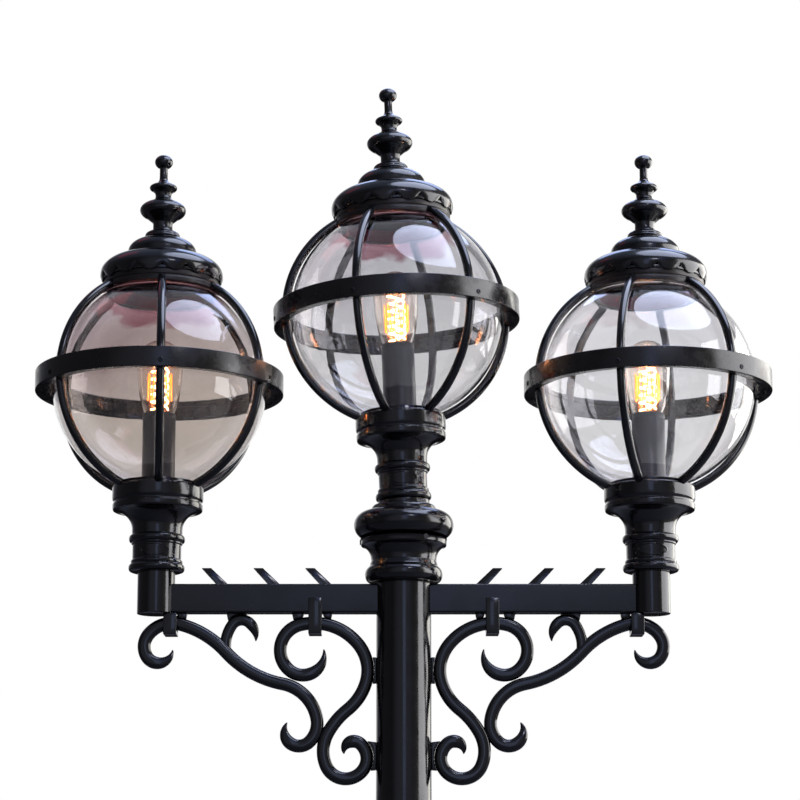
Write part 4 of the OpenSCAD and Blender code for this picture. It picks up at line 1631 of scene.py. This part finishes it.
    def lamp(self) -> None:
        """Makes the lamp tube, the bulb and its filament, and dresses the lampholder."""
        floor, r = self.base_h - 16.7, self.tube_r
        tube = Shell(self.name("lamp_stem"))
        tube.lathe([(r - 2, floor), (r + 9, floor), (r + 9, floor + 4), (r, floor + 4),
                    (r, self.tube_top - 8), (r - 0.4, self.tube_top - 7),
                    (r, self.tube_top - 6), (r, self.tube_top), (r - 2, self.tube_top)],
                   ease=0.7)
        self.fit(tube, TUBE_BRONZE, "lamp_tube")
        neck, wide = 11.6, self.tube_top + self.bulb_show - self.bulb_r
        glass_z = self.tube_top - 12

        def side(skin: float) -> Profile:
            """The bulb's right half.

            Args:
                skin: how far inside the outer face, in millimetres.

            Returns:
                Its points, from the neck to the top.
            """
            r = self.bulb_r - skin
            return ([(neck - skin, glass_z)]
                    + arc((neck - skin, wide), self.bulb_r - neck, wide - glass_z - 6, -90,
                          0, 24)
                    + arc((0, wide), r, r, 0, 90, 20)[1:-1] + [(0.0, wide + r)])

        bulb = Shell(self.name("bulb"))
        bulb.lathe(side(0) + side(1)[::-1], 72)
        self.fit(bulb, LAMP_GLASS, "bulb_glass", crease=60)
        self.filament(glass_z)
        for part, finish in (("lampholder", PORCELAIN), ("bulb_cap", CAP_BRASS)):
            carry(self.name(part), finish)

    def filament(self, glass_z: float) -> None:
        """Makes the twin helix, the zigzag round it and the stem that carries them.

        Args:
            glass_z: height of the bulb's neck.
        """
        low, high = self.tube_top + 9, self.tube_top + self.bulb_show - 30
        self.grown(HELIX, "filament_wire", WIRE, "filament", Foot=(low - 2) * MM,
                   Height=(high - low) * MM)
        self.grown(ZIGZAG, "filament_zigzag", EMBER, Foot=(low - 4) * MM,
                   Height=(high - low) * MM)
        stem = Shell(self.name("lamp_stem_glass"))
        stem.lathe([(0, glass_z), (3, glass_z), (3, low + 8), (1.6, low + 14),
                    (1.1, low + 18), (1.1, high - 4), (2.4, high - 2), (0, high)], 24,
                   loop=False)
        self.fit(stem, LAMP_GLASS)

    def canopy(self) -> None:
        """Makes the spun canopy with its scalloped skirt, and the hinge knuckle."""
        wall, c = self.canopy_wall, self.canopy_r / 2

        def side(off: float) -> Profile:
            """The canopy's right half.

            Args:
                off: how far inside the outer face, in millimetres.

            Returns:
                Its points, from the skirt to the top.
            """
            r, step = self.canopy_r - off, self.canopy_r - 37.6 - off
            return ([(r - 2.4, 0.0), (r - 1.6, 2.5), (r - 0.8, 5.2),
                     (r, self.scallop_h - 1), (r, 13.0)]
                    + arc((c, 13), r - c, 26.8 - off, 8, 75, 18)
                    + [(step, 39.8 - off), (step - 0.4, 46.5)]
                    + arc((19.8, 46.5), step - 20.2, 19.7 - off, 6, 78, 12))

        outer = side(0) + [(5.2, self.canopy_h), (5.2, self.canopy_h - wall)]
        inner = side(wall)[3:][::-1] + [(self.canopy_r - wall, 5.2),
                                        (self.canopy_r - wall, 0.0)]
        shell = Shell(self.name("canopy_shell"))
        shell.lathe(outer + inner, self.scallops * 16, ease=1.1, least=30)
        made = shell.build(CANOPY_ENAMEL)
        crown = SCALLOPS.grow(
            self.name("canopy_shell"), CANOPY_ENAMEL,
            self.place @ Matrix.Translation((0, 0, self.skirt_z)), made.data.copy(), 34,
            Half_count=self.scallops / 2, Phase=math.pi * (self.scallops % 2) / 2,
            Depth=self.scallop_h * MM)
        bpy.data.objects.remove(made)
        self.fit(crown, CANOPY_ENAMEL, "canopy", body=self.lid)
        self.knuckle()

    def knuckle(self) -> None:
        """Makes the canopy's hinge knuckle and the ring that rests on the cage."""
        (y, hz), r, inner = self.hinge, self.knuckle_r, self.canopy_r - 3
        shell = Shell(self.name("canopy_knuckle"))
        side = ([(inner, self.skirt_z + 16), (inner, self.skirt_z + 10)]
                + arc((y, hz), r, r, 200, 360, 14) + [(y + r, self.skirt_z + 13)])
        stations = [Matrix(((0, 0, 1, x), (1, 0, 0, 0), (0, 1, 0, 0), (0, 0, 0, 1)))
                    for x in (-5.8, 5.8)]
        shell.prism(softened(side, 0.8), stations)
        low, rest = self.ring_z + self.ring_h + REST_GAP, self.sleeve_r
        ring = [(inner, low), (inner, low + 3.7), (rest, low + 3.7), (rest, low)]
        shell.lathe(ring, 120, ease=0.6)
        self.fit(shell, CANOPY_ENAMEL, body=self.lid)
        carry(self.name("hinge_pin"), BLACK_STEEL)

    def finial(self) -> None:
        """Makes the turned finial: foot, discs, stem and ball."""
        d, z = self.disc_r, self.skirt_z + self.canopy_h + REST_GAP
        outline = ([(0.0, -7.0), (4.8, -7.0), (4.8, 0.0), (24.0, 0.0), (25.6, 1.2),
                    (25.6, 2.6), (24.4, 3.4)]
                   + arc((12.4, 4), 12.4, 7.2, 12, 80, 12)
                   + [(13.9, 15.0), (13.7, 21.0), (14.6, 24.0), (d * 0.55, 26.7)]
                   + arc((0, 41.9), d, 15.5, -48, 62, 24)
                   + [(13.5, 57.9), (11.6, 59.9), (11.0, 63.9), (12.0, 67.4)]
                   + arc((9.4, 75.4), 10.2, 5.5, -58, 70, 12)
                   + [(8.6, 83.4), (6.2, 86.9), (5.7, 90.9), (5.7, 104.4)]
                   + arc((0, 113.9), 12.9, 10.4, -62, 90, 20))
        outline[-1] = (0.0, outline[-1][1])
        shell = Shell(self.name("finial_turning"))
        shell.lathe(outline, loop=False, ease=0.9, at=Matrix.Translation((0, 0, z)))
        self.fit(shell, CANOPY_ENAMEL, "finial", body=self.lid)

    def build(self) -> None:
        """Makes every piece of the lantern."""
        for make in (self.base, self.badge, self.cage, self.feet, self.mouth, self.belt,
                     self.glass, self.lamp, self.canopy, self.finial):
            make()


def carry(name: str, finish: Finish) -> None:
    """Gives a node of the frame its finish and leaves its shape alone.

    Args:
        name: the node's name.
        finish: its finish.
    """
    part = FRAME["nodes"][name]
    if not part.data.materials:
        part.data.materials.append(None)
    for spot in part.material_slots:
        spot.material = finish.material()
    log.info("%s: finish %s", name, finish.name)


# ---------------------------------------------------------------- studio

@dataclass
class Studio:
    """A plain pale floor, soft lamps, a white surround and the camera."""

    lens: float = 107.1
    pitch: float = 10.2
    rise: float = 0.1425
    floor_r: float = 7000.0
    camera_at: Spot = (-0.0052, -3.254, 0.014)
    # the world's own colour, and what is laid over it: axis, start and end, tint, share
    base: str = "#131114"
    shades: tuple[tuple[str, float, float, str, float], ...] = (
        ("Z", 0.35, 0.95, "#b4c2e2", 0.45), ("X", 0.4, 0.95, "#e6e0d8", 0.35),
        ("X", -0.3, -0.9, "#6c6c74", 0.5), ("Y", -0.6, -0.95, "#868893", 1.0))

    def camera(self) -> None:
        """Makes the camera."""
        data = bpy.data.cameras.new("camera")
        data.lens = self.lens
        data.sensor_width = 36.0
        data.shift_y = self.rise
        data.clip_end = 60.0
        spot = linked("camera", data)
        spot.location = self.camera_at
        spot.rotation_euler = (math.radians(90 + self.pitch), 0.0, 0.0)
        bpy.context.scene.camera = spot

    def floor(self) -> None:
        """Makes the pale floor that the socket's mouth stands on."""
        shell = Shell("floor")
        r, top, under = self.floor_r, -0.5, -12
        shell.lathe([(0, top), (r, top), (r, under), (0, under)], 64, loop=False)
        shell.build(FloorPaint("pale_floor_paint", ""))

    def lamp(self, name: str, at: Spot, aim: Spot, size: Point, power: float, colour: str,
             shape: str = "RECTANGLE") -> None:
        """Adds a soft lamp.

        Args:
            name: its name.
            at: where it stands, in metres.
            aim: the point that it faces.
            size: its width and height, in metres.
            power: its watts.
            colour: its sRGB colour.
            shape: RECTANGLE or ELLIPSE.
        """
        data = bpy.data.lights.new(name, "AREA")
        data.shape = shape
        data.size, data.size_y = size
        data.energy = power
        data.color = linear(colour)[:3]
        spot = linked(name, data)
        spot.location = at
        spot.rotation_euler = (Vector(aim) - Vector(at)).to_track_quat("-Z", "Y").to_euler()

    def lamps(self) -> None:
        """Hangs the lamps: a wide one at the right, a sky panel overhead, small ones."""
        middle = (0.0, 0.0, 0.75)
        self.lamp("side_softbox", (2.4, -0.12, 1.1), middle, (2.2, 1.9), 64, "#eeeef2")
        self.lamp("right_rear", (2.1, 1.5, 1.1), middle, (1.2, 1.8), 30, "#f3f0ea")
        self.lamp("front_panel", (0.15, -4.4, 1.3), middle, (0.9, 2.4), 6, "#a8bcf0")
        self.lamp("front_spot", (0.95, -2.9, 2.2), middle, (0.5, 0.25), 4.7, "#f4f4ff")
        self.lamp("front_fringe", (1.0, -2.8, 2.2), middle, (1.9, 0.3), 2.7, "#4a66d8")
        self.lamp("overhead_panel", (1.05, -0.4, 2.9), (0.45, 0.0, 0.75), (2.8, 2.2), 88,
                  "#d2dcfa", "ELLIPSE")
        self.lamp("rear_sky", (0.4, 1.9, 3.1), middle, (2.4, 1.2), 20, "#b4c8ff", "ELLIPSE")
        self.lamp("left_flat", (-1.9, 1.6, 1.2), middle, (1.2, 1.8), 0.8, "#c8d0e8")
        self.lamp("red_sign", (-1.3, 0.5, 2.5), middle, (0.7, 0.7), 1.2, "#c02030")

    def surround(self) -> None:
        """Makes the world: white to look at, brighter behind and above than in front."""
        world = bpy.data.worlds.new("surround")
        world.use_nodes = True
        world.node_tree.nodes.clear()
        pen = Pen(world.node_tree)
        way = pen.parts(node(pen.tree, "ShaderNodeTexCoord").outputs["Generated"])
        level: Any = self.base
        for axis, low, high, tint, power in self.shades:
            level = pen.mixed(pen.remap(way[axis], low, high, 0.0, power, True), level, tint)
        soft = pen.add("ShaderNodeBackground", Color=level, Strength=1.0)
        white = pen.add("ShaderNodeBackground", Color=linear("#ffffff"), Strength=1.0)
        # gloss meets the white backdrop where it stands: behind, above the floor
        where = pen.maths("MULTIPLY", pen.remap(way["Y"], 0.70, 0.93, smooth=True),
                          pen.remap(way["Z"], -0.02, 0.08, smooth=True))
        gloss = pen.maths("MULTIPLY", pen.ray("Glossy"), where)
        # the eye, and what is seen through glass, meet plain white
        shown = pen.maths("MAXIMUM", pen.seen(), gloss)
        node(pen.tree, "ShaderNodeOutputWorld", inputs={
            "Surface": pen.blend(shown, soft, white)})
        bpy.context.scene.world = world

    def build(self) -> None:
        """Sets up the whole studio."""
        self.camera()
        self.floor()
        self.lamps()
        self.surround()
        bpy.context.scene.view_settings.view_transform = "Standard"


# ---------------------------------------------------------------- the whole head

def seat_of(joint: dict[str, Any]) -> Matrix:
    """A lantern's seat from its swivel joint.

    Args:
        joint: the joint's row in the record.

    Returns:
        The seat's place and lean, in millimetres.
    """
    axis = Vector(joint["axis"]).normalized()
    lean = math.atan2(axis.x, axis.z)
    return Matrix.Translation(Vector(joint["pos_m"]) / MM) @ Matrix.Rotation(lean, 4, "Y")


FRAME: dict[str, Any] = {}


def main() -> None:
    """Builds the head piece by piece."""
    logging.basicConfig(level=logging.INFO, format="%(message)s")
    FRAME.update(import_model())
    seats = {j["name"]: seat_of(j) for j in FRAME["joints"]
             if j["name"].startswith("swivel_")}
    column = Column()
    column.tube()
    column.collar(seats["swivel_centre"])
    for side in Side:
        arm = Arm(side)
        arm.tube()
        arm.post()
        Scroll(side).build()
    Spikes().build()
    Straps().build()
    for name, finish in (("mast_stop_ring", TUBE_ENAMEL), ("terminal_block", BLOCK),
                         ("lamp_cables", SHEATH), ("grub_screws", BLACK_STEEL)):
        carry(name, finish)
    for berth in Berth:
        Lantern(berth, seats["swivel_" + berth.tag]).build()
    Studio().build()


if __name__ == "__main__":
    main()
